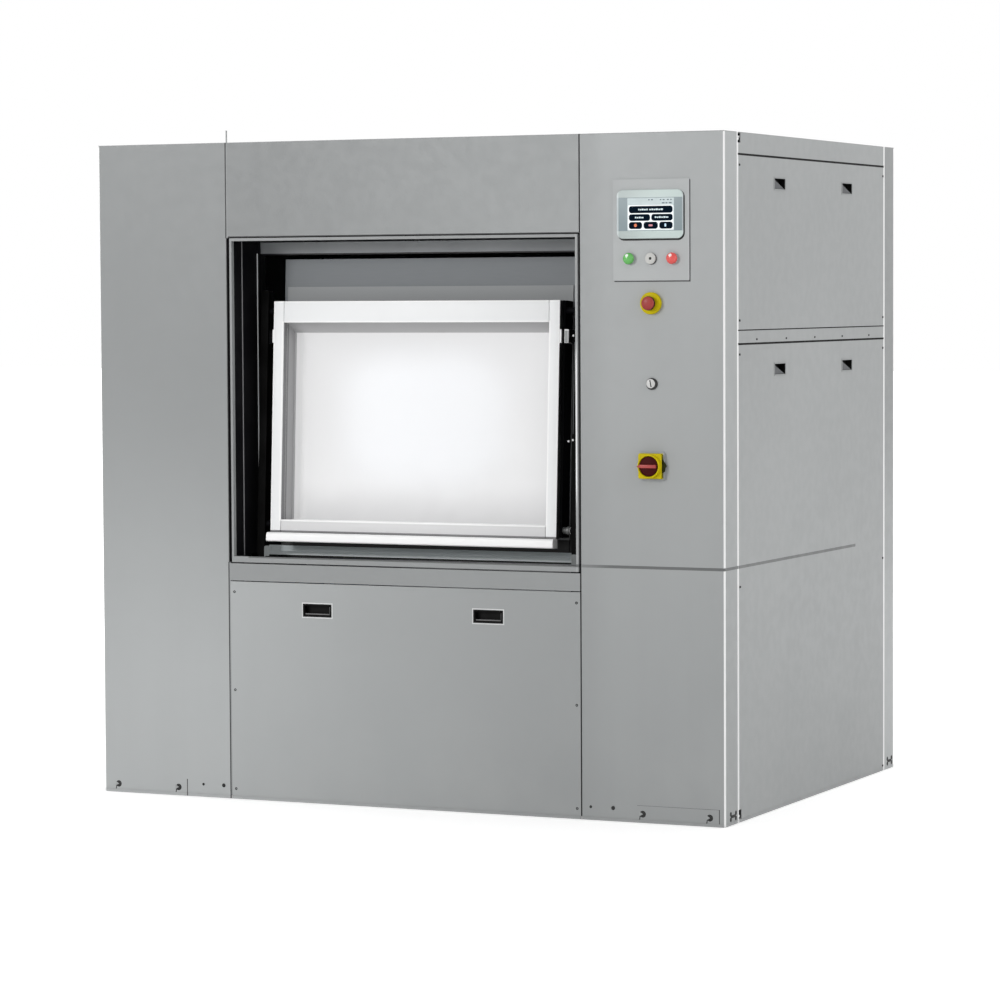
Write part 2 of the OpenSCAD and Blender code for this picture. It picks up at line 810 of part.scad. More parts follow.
module service_inlets() {
    flange = 6;
    color(steel) translate([inlet_inset - hw, inlet_y, 0]) {
        for (i = [0:2]) translate([i * inlet_pitch, 0, 0]) difference() {
            union() {
                translate([0, 0, cover_top - 60]) cylinder(r = inlet_r, h = sheet + inlet_rise + 60);
                translate([0, 0, cab_h + 0.01]) cylinder(r = inlet_r + 14, h = flange);
            }
            translate([0, 0, cover_top - 70]) cylinder(r = inlet_bore, h = inlet_rise + 80);
        }
        translate([3 * inlet_pitch, 0, 0]) difference() {
            union() {
                translate([0, 0, cab_h + 0.01]) cylinder(r = gland_r + 10, h = flange - 1);
                translate([0, 0, cover_top - 20]) cylinder(r = gland_r - 0.5, h = inlet_rise);
            }
            translate([0, 0, cover_top - 30]) cylinder(r = gland_bore, h = 70);
        }
    }
}

module drain_box() {
    z0 = base_top + weld;
    half = drain_s / 2;
    wall = 3;
    color(steel) translate([0, -drain_y, 0]) {
        difference() {
            union() {
                block([drain_x - half, -half, z0], [drain_x + half, half, drain_top]);
                translate([0, 0, drain_z]) disc_x(drain_r, -hw, drain_x);
            }
            block([drain_x - half + wall, -half + wall, z0 + wall],
                [drain_x + half - wall, half - wall, drain_top - wall]);
            translate([drain_x, 0, drain_top - wall - 1]) cylinder(r = hose_r + 20, h = wall + 2);
            translate([0, 0, drain_z]) disc_x(drain_r - wall, -hw - 1, drain_x);
        }
        // Saddles under the outlet pipe.
        for (x = [-spring_x, -cross_x[2]]) difference() {
            block([x - 20, -40, z0], [x + 20, 40, drain_z - 10]);
            translate([0, 0, drain_z]) disc_x(drain_r + 0.2, x - 30, x + 30);
        }
    }
}

module mounting_plate() {
    top = cab_h - board_drop;
    tab = 40;
    color(steel) {
        block([bay_post_x + 4, board_y, board_low], [frame_in - 12, board_y + 3, top]);
        // Tabs welded to the corner post.
        for (z = [board_low + 20, (board_low + top - tab) / 2, top - tab - 20])
            block([frame_in - 12.4, -hd + post_y + 10, z], [frame_in - weld, board_y + 3, z + tab]);
    }
}

// Motor drive, contactors between two cable ducts, and the isolator's switch.
module switchgear() {
    x0 = bay_post_x + post + 32;
    y1 = board_y - weld;
    slots = 12;
    fin_pitch = 10;
    unit_w = 46;
    unit_pitch = 55;
    unit_h = 80;
    row_w = contactors * unit_pitch + 15;
    duct_h = 40;
    color(dark) difference() {
        block([x0, y1 - drive_d, drive_z], [x0 + drive_w, y1, drive_z + drive_h]);
        // Air slots.
        for (i = [0:slots - 1]) translate([x0 + 20, y1 - drive_d - 1, drive_z + 20 + i * fin_pitch])
            cube([drive_w - 40, 5, 4]);
    }
    color(black) {
        block([x0, y1 - 10, row_z - 17], [x0 + row_w, y1, row_z + 17]);
        for (i = [0:contactors - 1]) translate([x0 + 10 + i * unit_pitch, y1 - 90, row_z - unit_h / 2])
            cube([unit_w, 90 - 10.4, unit_h]);
    }
    color(grey) for (z = [row_z - 65 - duct_h, row_z + 65])
        block([x0, y1 - 60, z], [x0 + row_w, y1, z + duct_h]);
    color(black) translate([control_x, 0, isolator_z]) {
        block([-40, y1 - 80, -35], [40, y1, 35]);
        disc_y(5, -hd + 52, y1 - 79);
    }
}

module rear_control_plate() {
    color(steel) rotate([0, 0, 180]) translate([control_x, 0, 0]) {
        difference() {
            translate([0, 0, rear_plate_z]) plate_xz(rear_plate_w, rear_plate_h, 4, -hd - plate_t, plate_t);
            for (z = [rear_open_z, rear_close_z]) translate([0, 0, z])
                disc_y(button_r + 0.3, -hd - 10, -hd + 10);
            translate([0, 0, rear_stop_z]) disc_y(stop_bore, -hd - 10, -hd + 10);
        }
        for (z = [rear_open_z, rear_close_z]) translate([0, 0, z]) button_collar(-hd - plate_t);
    }
    color(yellow) rotate([0, 0, 180]) translate([control_x, 0, rear_stop_z]) stop_base(-hd - plate_t);
}

// Ring round a push button, standing on the face at y.
module button_collar(y) {
    difference() {
        disc_y(button_r + 4, y - 3, y - 0.01);
        disc_y(button_r + 0.3, y - 10, y + 10);
    }
}

module cradle() {
    x1 = cradle_l / 2;
    y1 = cradle_w / 2;
    t = cradle_tube;
    bed_w = 180;
    foot_w = 20;
    color(blue) {
        for (s = [-1, 1]) translate([0, s * (y1 - t / 2), 0])
            tube([-x1, -t / 2, cradle_z], [x1, t / 2, cradle_top], 0);
        for (x = [x1 - t / 2, x1 - 210, pedestal_x + pedestal_t / 2], s = [-1, 1]) translate([s * x, 0, 0])
            tube([-t / 2, -y1 + t + weld, cradle_z], [t / 2, y1 - t - weld, cradle_top], 1);
        // Saddles that carry the tub.
        for (x = [-saddle_x, saddle_x]) translate([x - saddle_t / 2, 0, 0]) rotate([90, 0, 90])
            linear_extrude(saddle_t) difference() {
                translate([-y1 + 10, cradle_top + weld])
                    square([2 * y1 - 20, axis_z - tub_r / 2 - cradle_top - weld]);
                translate([0, axis_z]) circle(tub_r + weld, $fn = 180);
            }
        // Bed plate under the motor and its two feet.
        block([-x1 + 10, motor_y - motor_r - 10, cradle_top + weld],
            [-x1 + bed_w, motor_y + motor_r + 10, cradle_top + 8]);
        difference() {
            for (x = [-x1 + 20, -x1 + bed_w - 40]) block([x, motor_y - motor_r, cradle_top + 7],
                [x + foot_w, motor_y + motor_r, motor_z - 40]);
            translate([0, motor_y, motor_z]) disc_x(motor_r + weld, -x1, -x1 + bed_w + 20, $fn = 128);
        }
    }
}

module tub_shell() {
    x1 = tub_l / 2;
    color(steel) difference() {
        translate([0, 0, axis_z]) union() {
            disc_x(tub_r, -x1, x1);
            both_sides() disc_x(tub_r + flange_h, x1 - flange_t, x1);
        }
        translate([0, 0, axis_z]) disc_x(tub_r - tub_t, -tub_l, tub_l);
        both_faces() leaning()
            block([-mouth_w / 2, -tub_r - 60, -mouth_h / 2], [mouth_w / 2, -tub_r / 2, mouth_h / 2]);
        translate([drain_x, -drain_y, axis_z - tub_r - 20]) cylinder(r = hose_r - 4, h = 200);
    }
}

module tub_ends() {
    x0 = tub_l / 2 + weld;
    x1 = x0 + tub_end_t;
    rib_t = 16;
    color(steel) both_sides() translate([0, 0, axis_z]) difference() {
        union() {
            disc_x(tub_r + flange_h, x0, x1);
            disc_x(shaft_r + 50, x0, x1 + 20);
            for (a = [0:45:315]) rotate([a, 0, 0])
                block([x0, -rib_t / 2, shaft_r + 40], [x1 + 18, rib_t / 2, tub_r - 10]);
        }
        disc_x(shaft_r + 3, x0 - 10, x1 + 50);
    }
}

module tub_mouths() {
    w = mouth_w / 2;
    h = mouth_h / 2;
    t = mouth_t;
    y0 = -mouth_face;
    color(steel) both_faces() leaning() {
        difference() {
            union() {
                block([-plate_w / 2, y0, -plate_down], [plate_w / 2, y0 + t, plate_up]);
                block([-w - t, y0, -h - t], [w + t, -tub_r / 2, h + t]);
                // Raised collar round the seal.
                block([-door_w / 2, y0 - collar_t, -half_door - 46], [door_w / 2, y0, half_door + 50]);
            }
            block([-w, y0 - 10, -h], [w, 0, h]);
            block([-w - seal_w, y0 - 10, -h - seal_w], [w + seal_w, y0, h + seal_w]);
            disc_x(tub_r + 0.1, -plate_w, plate_w);
        }
    }
}

module mouth_seals() {
    w = mouth_w / 2;
    h = mouth_h / 2;
    edge = seal_w - 2;
    color(black) both_faces() leaning() difference() {
        block([-w - edge, -mouth_face - door_gap + 0.6, -h - edge],
            [w + edge, -mouth_face - 0.01, h + edge]);
        block([-w - 4, -mouth_face - 20, -h - 4], [w + 4, -mouth_face + 10, h + 4]);
    }
}

// Channel of an outer door, open towards the door, with brackets to the mouth and the cradle.
module door_rails() {
    z0 = -half_door - door_travel - 38;
    z1 = half_door + 36;
    y0 = -pin_y - pin_r - slot;
    y1 = -pin_y + pin_r + slot;
    plate_y = -mouth_face + mouth_t;
    bracket_h = 40;
    color(dark) both_faces() leaning() both_sides() {
        difference() {
            block([rail_in, y0 - rail_wall, z0], [rail_out, y1 + rail_wall, z1]);
            block([rail_in - 1, y0, z0 - 1], [rail_out - rail_wall, y1, z1 + 1]);
        }
        for (z = [-330, 290]) {
            block([rail_in + 2, y1 + rail_wall - 0.1, z], [rail_out - 2, plate_y, z + bracket_h]);
            block([plate_w / 2 + weld, -mouth_face, z], [rail_out - 2, plate_y, z + bracket_h]);
        }
        low = (cradle_z + 30 - axis_z - mouth_face * sin(door_lean)) / cos(door_lean);
        block([rail_in + 2, y1 + rail_wall - 0.1, low], [rail_out - 2, -mouth_face + 20, low + bracket_h]);
        rotate([door_lean, 0, 0]) translate([0, 0, -axis_z])
            block([rail_in + 5, -mouth_face - 30, cradle_z + 20],
                [rail_out - 5, -cradle_w / 2 - weld, cradle_z + 70]);
    }
}

module bearing_pedestals() {
    foot = 330;
    head = 150;
    window = 210;
    low = cradle_top + weld;
    color(blue) both_sides() difference() {
        union() {
            translate([pedestal_x, 0, 0]) rotate([90, 0, 90]) linear_extrude(pedestal_t) difference() {
                polygon([[-foot, low], [foot, low], [head, axis_z + 90], [80, axis_z + 160],
                    [-80, axis_z + 160], [-head, axis_z + 90]]);
                polygon([[-window, low + 70], [window, low + 70],
                    [110, axis_z - 180], [-110, axis_z - 180]]);
            }
            translate([0, 0, axis_z]) disc_x(shaft_r + 60, pedestal_x - 6, pedestal_out + 24);
        }
        translate([0, 0, axis_z]) disc_x(shaft_r + run_gap, pedestal_x - 20, pedestal_out + 60);
    }
}

module motor() {
    x0 = -cradle_l / 2 - 30;
    fan_l = 30;
    color(blue) translate([0, motor_y, motor_z]) difference() {
        union() {
            disc_x(motor_r, x0 + fan_l, motor_front);
            disc_x(motor_r - 12, x0, x0 + fan_l);
            // Cooling ribs.
            for (a = [-60:15:60]) rotate([a, 0, 0])
                block([x0 + fan_l + 20, -2, motor_r - 4], [motor_front - 30, 2, motor_r + 8]);
        }
        disc_x(motor_shaft + run_gap, motor_front - 60, motor_front + 10);
    }
}

// Points of an arc about [x, 0] from angle a to angle b, in the given number of steps.
function arc(x, r, a, b, steps) = [for (i = [0:steps]) [x, 0] + r * [cos(a + (b - a) * i / steps),
    sin(a + (b - a) * i / steps)]];

// Loop round both pulleys at a height above their pitch: two arcs joined by straight runs.
module belt_loop(rise) {
    d = sqrt(motor_y * motor_y + pow(axis_z - motor_z, 2));
    turn = acos((pulley_r - motor_pulley_r) / d);
    // In this frame the motor pulley lies on +X.
    translate([0, axis_z]) rotate(atan2(motor_z - axis_z, motor_y))
        polygon(concat(arc(0, pulley_r + rise, turn, 360 - turn, 40),
            arc(d, motor_pulley_r + rise, -turn, turn, 18)));
}

module drive_belts() {
    pitch = pulley_w / (belts + 1);
    color(black) for (i = [1:belts])
        translate([-pulley_x - pulley_w / 2 + i * pitch - belt_t / 2, 0, 0]) rotate([90, 0, 90])
            linear_extrude(belt_t) difference() {
                belt_loop(belt_gap + belt_t);
                belt_loop(belt_gap);
            }
}

module drain_valve() {
    wall = 4;
    flange_top = valve_z + 10;
    color(steel) translate([drain_x, -drain_y, 0]) difference() {
        union() {
            translate([0, 0, valve_z]) cylinder(r = hose_r + 8, h = axis_z - valve_z - tub_r + 60);
            translate([0, 0, flange_top]) cylinder(r = hose_r + 20, h = 60);
            // Actuator of the valve.
            translate([-60, -hose_r - 60, flange_top + 10]) cube([120, 50, 44]);
        }
        translate([0, drain_y, axis_z]) disc_x(tub_r + 0.1, -drain_x, drain_x, $fn = 180);
        translate([0, 0, 200]) cylinder(r = hose_r - wall, h = 600);
    }
    color(black) translate([drain_x, -drain_y, drain_top - 40]) difference() {
        cylinder(r = hose_r, h = valve_z - drain_top + 40 - weld);
        translate([0, 0, -1]) cylinder(r = hose_r - wall, h = 600);
    }
}

module brake_calliper() {
    x0 = pedestal_out;
    color(red) translate([0, 0, axis_z]) rotate([-35, 0, 0]) {
        difference() {
            block([x0 + weld, -50, brake_r - 30], [brake_x + 40, 50, brake_r + 50]);
            block([brake_x - 8, -60, 0], [brake_x + brake_t + 8, 60, brake_r + 8]);
        }
        // Arm from the calliper down to the bearing housing.
        block([x0 + weld, -40, shaft_r + 62], [x0 + 20, 40, brake_r - 29]);
    }
}

module drum_shell() {
    margin = 60;
    row_angle = 20;
    pitch = (drum_l - 2 * margin) / (perf_cols - 1);
    color(steel) translate([0, 0, axis_z]) {
        difference() {
            disc_x(drum_r, -drum_l / 2, drum_l / 2, $fn = 128);
            disc_x(drum_in, -drum_l, drum_l, $fn = 128);
            // The two door openings.
            block([-hatch_w / 2, -drum_r - 10, -hatch_h / 2], [hatch_w / 2, -drum_r / 2, hatch_h / 2]);
            block([-hatch_w / 2, drum_r / 2, -hatch_h / 2], [hatch_w / 2, drum_r + 10, hatch_h / 2]);
            for (top = [0, 180], i = [0:perf_rows - 1], j = [0:perf_cols - 1])
                rotate([top + (i - (perf_rows - 1) / 2) * row_angle, 0, 0])
                    translate([-drum_l / 2 + margin + j * pitch, 0, drum_in - 10])
                        cylinder(r = perf_r, h = 30);
        }
        // Lugs that carry the leaves' hinge pins, and the pins.
        for (f = [0, 180], u = [0, 1]) rotate([0, 0, f]) mirror([0, 0, u]) {
            for (s = [-1, 1]) hinge_lug(s);
            translate([0, -hinge_y, hinge_z]) disc_x(leaf_pin_r, -leaf_half - 4, leaf_half + 4);
        }
    }
}

// A lug welded inside the shell at one end of a leaf's hinge.
module hinge_lug(s) {
    lug_t = 8;
    x0 = s > 0 ? leaf_half + 1 : -leaf_half - 1 - lug_t;
    translate([x0, 0, 0]) rotate([90, 0, 90]) linear_extrude(lug_t) {
        lug_plan(hinge_z - leaf_tube_r, drum_in - 2);
        lug_plan(hatch_h / 2 + 1, drum_in + 0.5);
    }
}

// Section of a lug from a given height, cut to the shell's roundness.
module lug_plan(low, r) {
    reach = 30;
    intersection() {
        translate([-hinge_y - reach, low]) square([reach + leaf_tube_r, hinge_z + leaf_tube_r + 14 - low]);
        circle(r, $fn = 128);
    }
}

module drum_ends() {
    x0 = drum_l / 2 + 0.01;
    color(steel) translate([0, 0, axis_z]) {
        both_sides() {
            disc_x(drum_r, x0, x0 + drum_end_t, $fn = 128);
            disc_x(shaft_r + 45, x0, x0 + drum_end_t + 14);
        }
        disc_x(shaft_r, x0, brake_x + 60);
        disc_x(shaft_r, -pulley_x - pulley_w / 2 - 20, -x0);
    }
}

module drum_partition() {
    t = partition_t / 2;
    row_pitch = 100;
    color(steel) translate([0, 0, axis_z]) difference() {
        intersection() {
            block([-drum_l / 2, -t, -drum_in], [drum_l / 2, t, drum_in]);
            disc_x(drum_in, -drum_l, drum_l, $fn = 128);
        }
        for (x = [-4:4], z = [-4:4]) translate([x * perf_pitch, 0, z * row_pitch])
            disc_y(perf_r + 2, -10, 10);
    }
}

module drum_pulley() {
    w = pulley_w / 2;
    rim = 26;
    spoke_w = 48;
    color(dark) translate([-pulley_x, 0, axis_z]) difference() {
        union() {
            difference() {
                disc_x(pulley_r, -w, w, $fn = 128);
                disc_x(pulley_r - rim, -w - 1, w + 1, $fn = 128);
            }
            disc_x(shaft_r + 34, -w, w);
            for (a = [0:60:300]) rotate([a, 0, 0])
                block([-12, -spoke_w / 2, shaft_r + 20], [12, spoke_w / 2, pulley_r - rim + 6]);
        }
        disc_x(shaft_r, -w - 40, w + 40);
    }
}

module brake_disc() {
    hole_r = 14;
    color(steel) translate([brake_x, 0, axis_z]) difference() {
        union() {
            disc_x(brake_r, 0, brake_t);
            disc_x(shaft_r + 30, -8, 40);
        }
        disc_x(shaft_r, -30, 60);
        for (a = [0:45:315]) rotate([a, 0, 0]) translate([0, 0, brake_r - 60])
            disc_x(hole_r, -1, brake_t + 1);
    }
}

// A leaf of a drum door: part of the shell, an edge web and the tube that turns on the pin.
module leaf(f, u) {
    z1 = hatch_h / 2 - leaf_gap;
    x1 = hatch_w / 2 - leaf_gap;
    y1 = sqrt(drum_in * drum_in - z1 * z1);
    bar_h = 6;
    bar_d = 12;
    color(steel) translate([0, 0, axis_z]) rotate([0, 0, f]) mirror([0, 0, u]) difference() {
        union() {
            difference() {
                intersection() {
                    difference() {
                        disc_x(drum_r, -x1, x1, $fn = 128);
                        disc_x(drum_in, -x1 - 1, x1 + 1, $fn = 128);
                    }
                    block([-x1, -drum_r, leaf_meet], [x1, -drum_r / 2, z1]);
                }
                for (i = [0:2], j = [-3:3]) rotate([-6 - i * 8, 0, 0]) translate([j * perf_pitch, 0, 0])
                    disc_y(perf_r, -drum_r - 10, -drum_in + 10);
            }
            // Web between the sheet and the hinge tube.
            translate([-leaf_half + 1, 0, 0]) rotate([90, 0, 90]) linear_extrude(2 * leaf_half - 2)
                intersection() {
                    polygon([[-y1 - 1, z1], [-y1 - 8, z1 - 20], [-hinge_y + 2, hinge_z - leaf_tube_r + 1],
                        [-hinge_y - 2, hinge_z + 2]]);
                    circle(drum_in + 1, $fn = 128);
                }
            translate([0, -hinge_y, hinge_z]) disc_x(leaf_tube_r, -leaf_half + 1, leaf_half - 1);
            // Stiffening bar along the meeting edge.
            block([-x1, -drum_in - 1, leaf_meet], [x1, -drum_in + bar_d, leaf_meet + bar_h]);
        }
        translate([0, -hinge_y, hinge_z]) disc_x(leaf_pin_r + run_gap, -leaf_half - 1, leaf_half + 1);
    }
}

module front_upper_leaf() { leaf(0, 0); }
module front_lower_leaf() { leaf(0, 1); }
module rear_upper_leaf() { leaf(180, 0); }
module rear_lower_leaf() { leaf(180, 1); }

module motor_pulley() {
    w = pulley_w / 2;
    color(dark) translate([0, motor_y, motor_z]) {
        disc_x(motor_pulley_r, -pulley_x - w, -pulley_x + w);
        disc_x(motor_shaft, motor_front - 60, -pulley_x + w + 8);
    }
}

// White pieces of an outer door: stiles, rails, recessed panel and ledge.
module outer_door() {
    w = door_w / 2;
    i = w - stile_w;
    y0 = -door_face;
    y1 = y0 + door_frame_t;
    top = half_door - top_rail_h;
    low = -half_door + bottom_rail_h;
    wall = 3;
    nose = 10;
    color(white) {
        both_sides() block([i, y0, -half_door], [w, y1, half_door]);
        block([-i + weld, y0, top], [i - weld, y1, half_door]);
        block([-i + weld, y0, -half_door], [i - weld, y1, low]);
        // Recessed panel with its four walls.
        difference() {
            block([-i - wall, y1 + weld, low - wall], [i + wall, y0 + recess + wall, top + wall]);
            block([-i, y1, low], [i, y0 + recess, top]);
        }
        // Ledge under the door, rounded along its upper front edge.
        translate([-w, 0, 0]) rotate([90, 0, 90]) linear_extrude(door_w)
            translate([y0 - ledge_reach, -half_door - weld]) {
                translate([nose, -nose]) circle(nose);
                translate([nose, -ledge_h]) square([ledge_reach + door_frame_t - nose, ledge_h]);
                translate([0, -ledge_h]) square([nose, ledge_h - nose]);
            }
    }
}

// Black back frame of an outer door with the shoes and pins that run in the rails.
module outer_door_carrier() {
    w = door_w / 2;
    edge = 3 + weld;
    i = w - stile_w + edge;
    y0 = -door_face + door_frame_t + weld;
    y1 = -door_back;
    top = half_door - top_rail_h + edge;
    low = -half_door + bottom_rail_h - edge;
    pin_end = rail_out - rail_wall - 2;
    color(black) {
        both_sides() {
            block([i, y0, -half_door], [w, y1, half_door]);
            for (z = [-roller_z, half_door - 30]) translate([0, -pin_y, z]) disc_x(pin_r, w - 2, pin_end);
            translate([0, 0, shoe_z])
                block([w - 2, -pin_y - pin_r, -shoe_h / 2], [pin_end, -pin_y + pin_r, shoe_h / 2]);
        }
        block([-i + weld, y0, top], [i - weld, y1, half_door]);
        block([-i + weld, y0, -half_door], [i - weld, y1, low]);
    }
}

module front_door() { leaning() outer_door(); }
module front_door_carrier() { leaning() outer_door_carrier(); }
module rear_door() { rotate([0, 0, 180]) leaning() outer_door(); }
module rear_door_carrier() { rotate([0, 0, 180]) leaning() outer_door_carrier(); }

module electrical_door() {
    back = -hd + front_return;
    color(grey) {
        difference() {
            column_cover(front_return);
            // The return's fold stops short of the pivots.
            for (z = [0, cover_top - 40])
                block([hw - fold - 1, back - sheet - 1, z], [inner_x, back + 1, z + 40]);
            translate([control_x, 0, 0]) {
                for (s = [-1, 0, 1]) translate([s * button_pitch, 0, button_z])
                    disc_y(button_r + 3, -hd - 10, -hd + 10);
                translate([0, 0, stop_z]) disc_y(stop_bore, -hd - 10, -hd + 10);
                translate([0, 0, lock_z]) disc_y(lock_r + 0.3, -hd - 10, -hd + 10);
                translate([0, 0, isolator_z]) disc_y(9, -hd - 10, -hd + 10);
            }
        }
        for (z = [arm_z, arm_top_z]) {
            block([hw - fold, -hd + 70, z], [inner_x + 0.1, back - sheet, z + arm_t]);
            block([pivot_x - pivot_in, back - 12, z], [hw, pivot_y, z + arm_t]);
            translate([pivot_x, pivot_y, z]) cylinder(r = pivot_in, h = arm_t);
        }
        for (z = [arm_z - bracket_t, arm_top_z + arm_t - 1]) translate([pivot_x, pivot_y, z])
            cylinder(r = pivot_pin, h = bracket_t + 1);
    }
    color(yellow) translate([control_x, 0, 0]) {
        translate([0, 0, stop_z]) stop_base(-hd);
        // Yellow plate of the isolator with a round boss.
        translate([0, 0, isolator_z]) difference() {
            union() {
                translate([0, 0, -isolator_s / 2]) plate_xz(isolator_s, isolator_s, 8, -hd - 7, 6.99);
                disc_y(isolator_s * 0.39, -hd - 12, -hd - 1);
            }
            disc_y(7, -hd - 20, -hd + 10);
        }
    }
    color(steel) translate([control_x, 0, lock_z]) difference() {
        disc_y(lock_r + 4, -hd - 4, -hd - 0.01);
        disc_y(lock_r + 0.3, -hd - 10, -hd + 10);
    }
}

// Yellow base of an emergency stop on the face at y.
module stop_base(y) {
    difference() {
        union() {
            disc_y(stop_base_r, y - 5, y - 0.01);
            disc_y(stop_base_r - 8, y - 14, y - 1);
        }
        disc_y(9.3, y - 30, y + 30);
    }
}

module control_plate() {
    color(steel) translate([control_x, 0, 0]) {
        difference() {
            translate([0, 0, plate_bottom]) plate_xz(plate_x, plate_z, 3, -hd - plate_t, plate_t - 0.01);
            for (s = [-1, 0, 1]) translate([s * button_pitch, 0, button_z])
                disc_y(button_r + 0.3, -hd - 10, -hd + 10);
        }
        for (s = [-1, 0, 1]) translate([s * button_pitch, 0, button_z]) button_collar(-hd - plate_t);
    }
}

module touch_screen() {
    y = -hd - plate_t;
    color(dark) translate([control_x, 0, screen_z - screen_h / 2]) difference() {
        plate_xz(screen_w, screen_h, screen_r, y - 6, 5.99);
        translate([0, 0, (screen_h - screen_view_h) / 2])
            plate_xz(screen_view_w, screen_view_h, 4, y - 10, 6);
    }
}

// Push button with a domed head that stands clear of its collar by more than its stroke.
module push_cap(y) {
    head_y = 6.5;
    skirt = 3;
    dome_r = (cap_r * cap_r + cap_dome * cap_dome) / (2 * cap_dome);
    difference() {
        disc_y(button_r, y - head_y - 1, y + 14);
        disc_y(button_r - 3, y + 4, y + 20);
    }
    translate([0, y - head_y, 0]) rotate([90, 0, 0]) rotate_extrude() {
        square([cap_r, skirt]);
        intersection() {
            translate([0, skirt + cap_dome - dome_r]) circle(dome_r);
            translate([0, skirt]) square([cap_r, cap_dome]);
        }
    }
}

module start_button() {
    color("green") translate([control_x - button_pitch, 0, button_z]) push_cap(-hd - plate_t);
}

module stop_button() {
    color(red) translate([control_x + button_pitch, 0, button_z]) push_cap(-hd - plate_t);
}

module key_switch() {
    y = -hd - plate_t;
    head_y = 3.4;
    head_t = 4;
    color(steel) translate([control_x, 0, button_z]) difference() {
        union() {
            disc_y(button_r - 0.1, y - head_y - 1, -hd + 14);
            disc_y(cap_r, y - head_y - head_t, y - head_y);
        }
        disc_y(4, y - head_y - head_t - 1, y - head_y - head_t + 2.5);
    }
}

module mushroom(y) {
    color(red) {
        disc_y(9, y - 26, y + 12);
        translate([0, y - 24, 0]) rotate([90, 0, 0]) rotate_extrude() {
            square([mushroom_r, 8]);
            intersection() {
                translate([0, 14 - 2 * mushroom_r]) circle(2 * mushroom_r);
                translate([0, 8]) square([mushroom_r, 8]);
            }
        }
    }
}

module emergency_stop() { translate([control_x, 0, stop_z]) mushroom(-hd); }
module rear_stop() { rotate([0, 0, 180]) translate([control_x, 0, rear_stop_z]) mushroom(-hd); }

module rear_open_button() {
    color("green") rotate([0, 0, 180]) translate([control_x, 0, rear_open_z]) push_cap(-hd - plate_t);
}

module rear_close_button() {
    color(red) rotate([0, 0, 180]) translate([control_x, 0, rear_close_z]) push_cap(-hd - plate_t);
}

module isolator_handle() {
    knob_r = isolator_s / 3;
    color(red) translate([control_x, 0, isolator_z]) {
        disc_y(6, -hd - 20, -hd + 30);
        disc_y(knob_r, -hd - 24, -hd - 12.4);
        block([-knob_r + 2, -hd - 37, -7], [knob_r - 2, -hd - 23, 7]);
    }
}

module door_lock() {
    color(steel) translate([control_x, 0, lock_z]) {
        difference() {
            disc_y(lock_r, -hd - 5, -hd + 22);
            rotate([0, 45, 0]) block([-2, -hd - 6, -9], [2, -hd - 1, 9]);
        }
        block([-10, -hd + 16, -10], [46, -hd + 20, 10]);
    }
}

base_frame();
foot_plates();
post_frame();
bay_rings();
jamb_linings();
left_front_cover();
left_rear_cover();
right_rear_cover();
header_panels();
mid_rails();
lower_panels();
opening_bezels();
upper_side_panels();
lower_side_panels();
side_rails();
top_panel();
recessed_grips();
air_springs();
service_inlets();
drain_box();
mounting_plate();
switchgear();
rear_control_plate();
cradle();
tub_shell();
tub_ends();
tub_mouths();
mouth_seals();
door_rails();
bearing_pedestals();
motor();
drive_belts();
drain_valve();
brake_calliper();
drum_shell();
drum_ends();
drum_partition();
drum_pulley();
brake_disc();
front_upper_leaf();
front_lower_leaf();
rear_upper_leaf();
rear_lower_leaf();
motor_pulley();
front_door();
front_door_carrier();
rear_door();
rear_door_carrier();
electrical_door();
control_plate();
touch_screen();
start_button();
stop_button();
key_switch();
emergency_stop();
isolator_handle();
door_lock();
rear_stop();
rear_open_button();
rear_close_button();
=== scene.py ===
from math import copysign, cos, pi, radians, sin, tau

import bmesh
import bpy
from mathutils import Matrix, Vector


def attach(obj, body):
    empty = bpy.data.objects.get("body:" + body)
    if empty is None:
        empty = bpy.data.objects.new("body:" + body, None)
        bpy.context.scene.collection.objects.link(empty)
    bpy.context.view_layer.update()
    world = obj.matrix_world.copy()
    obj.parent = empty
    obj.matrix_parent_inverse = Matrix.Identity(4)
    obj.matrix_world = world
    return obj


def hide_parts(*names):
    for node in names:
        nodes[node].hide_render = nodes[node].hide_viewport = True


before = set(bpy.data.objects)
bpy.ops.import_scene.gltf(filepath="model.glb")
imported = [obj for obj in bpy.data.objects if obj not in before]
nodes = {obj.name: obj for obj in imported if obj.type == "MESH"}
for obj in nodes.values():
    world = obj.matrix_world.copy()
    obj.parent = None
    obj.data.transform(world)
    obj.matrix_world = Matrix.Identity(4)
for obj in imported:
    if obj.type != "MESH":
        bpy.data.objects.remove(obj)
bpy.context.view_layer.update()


def put(name, data):
    """Makes an object of the data and links it to the scene."""
    thing = bpy.data.objects.new(name, data)
    bpy.context.scene.collection.objects.link(thing)
    return thing


# Camera of the photograph: a long lens at a standing person's eye height, well off to the
# right of the loading side, so that the front and the right side are both seen.
camera_place = Vector((5.098, -11.038, 1.599))
camera_yaw, camera_pitch, camera_roll = radians(24.887), radians(-3.185), radians(-0.302)
level_ahead = Vector((-sin(camera_yaw), cos(camera_yaw), 0))
ahead = level_ahead * cos(camera_pitch) + Vector((0, 0, sin(camera_pitch)))
right = Vector((cos(camera_yaw), sin(camera_yaw), 0))
up = right.cross(ahead)
rolled_right = cos(camera_roll) * right + sin(camera_roll) * up
rolled_up = cos(camera_roll) * up - sin(camera_roll) * right
camera = put("camera", bpy.data.cameras.new("camera"))
camera.matrix_world = Matrix((rolled_right, rolled_up, -ahead)).transposed().to_4x4()
camera.location = camera_place
camera.data.sensor_width = 36
camera.data.lens = 133.23
camera.data.clip_end = 200
bpy.context.scene.camera = camera
bpy.context.scene.view_settings.view_transform = "Standard"


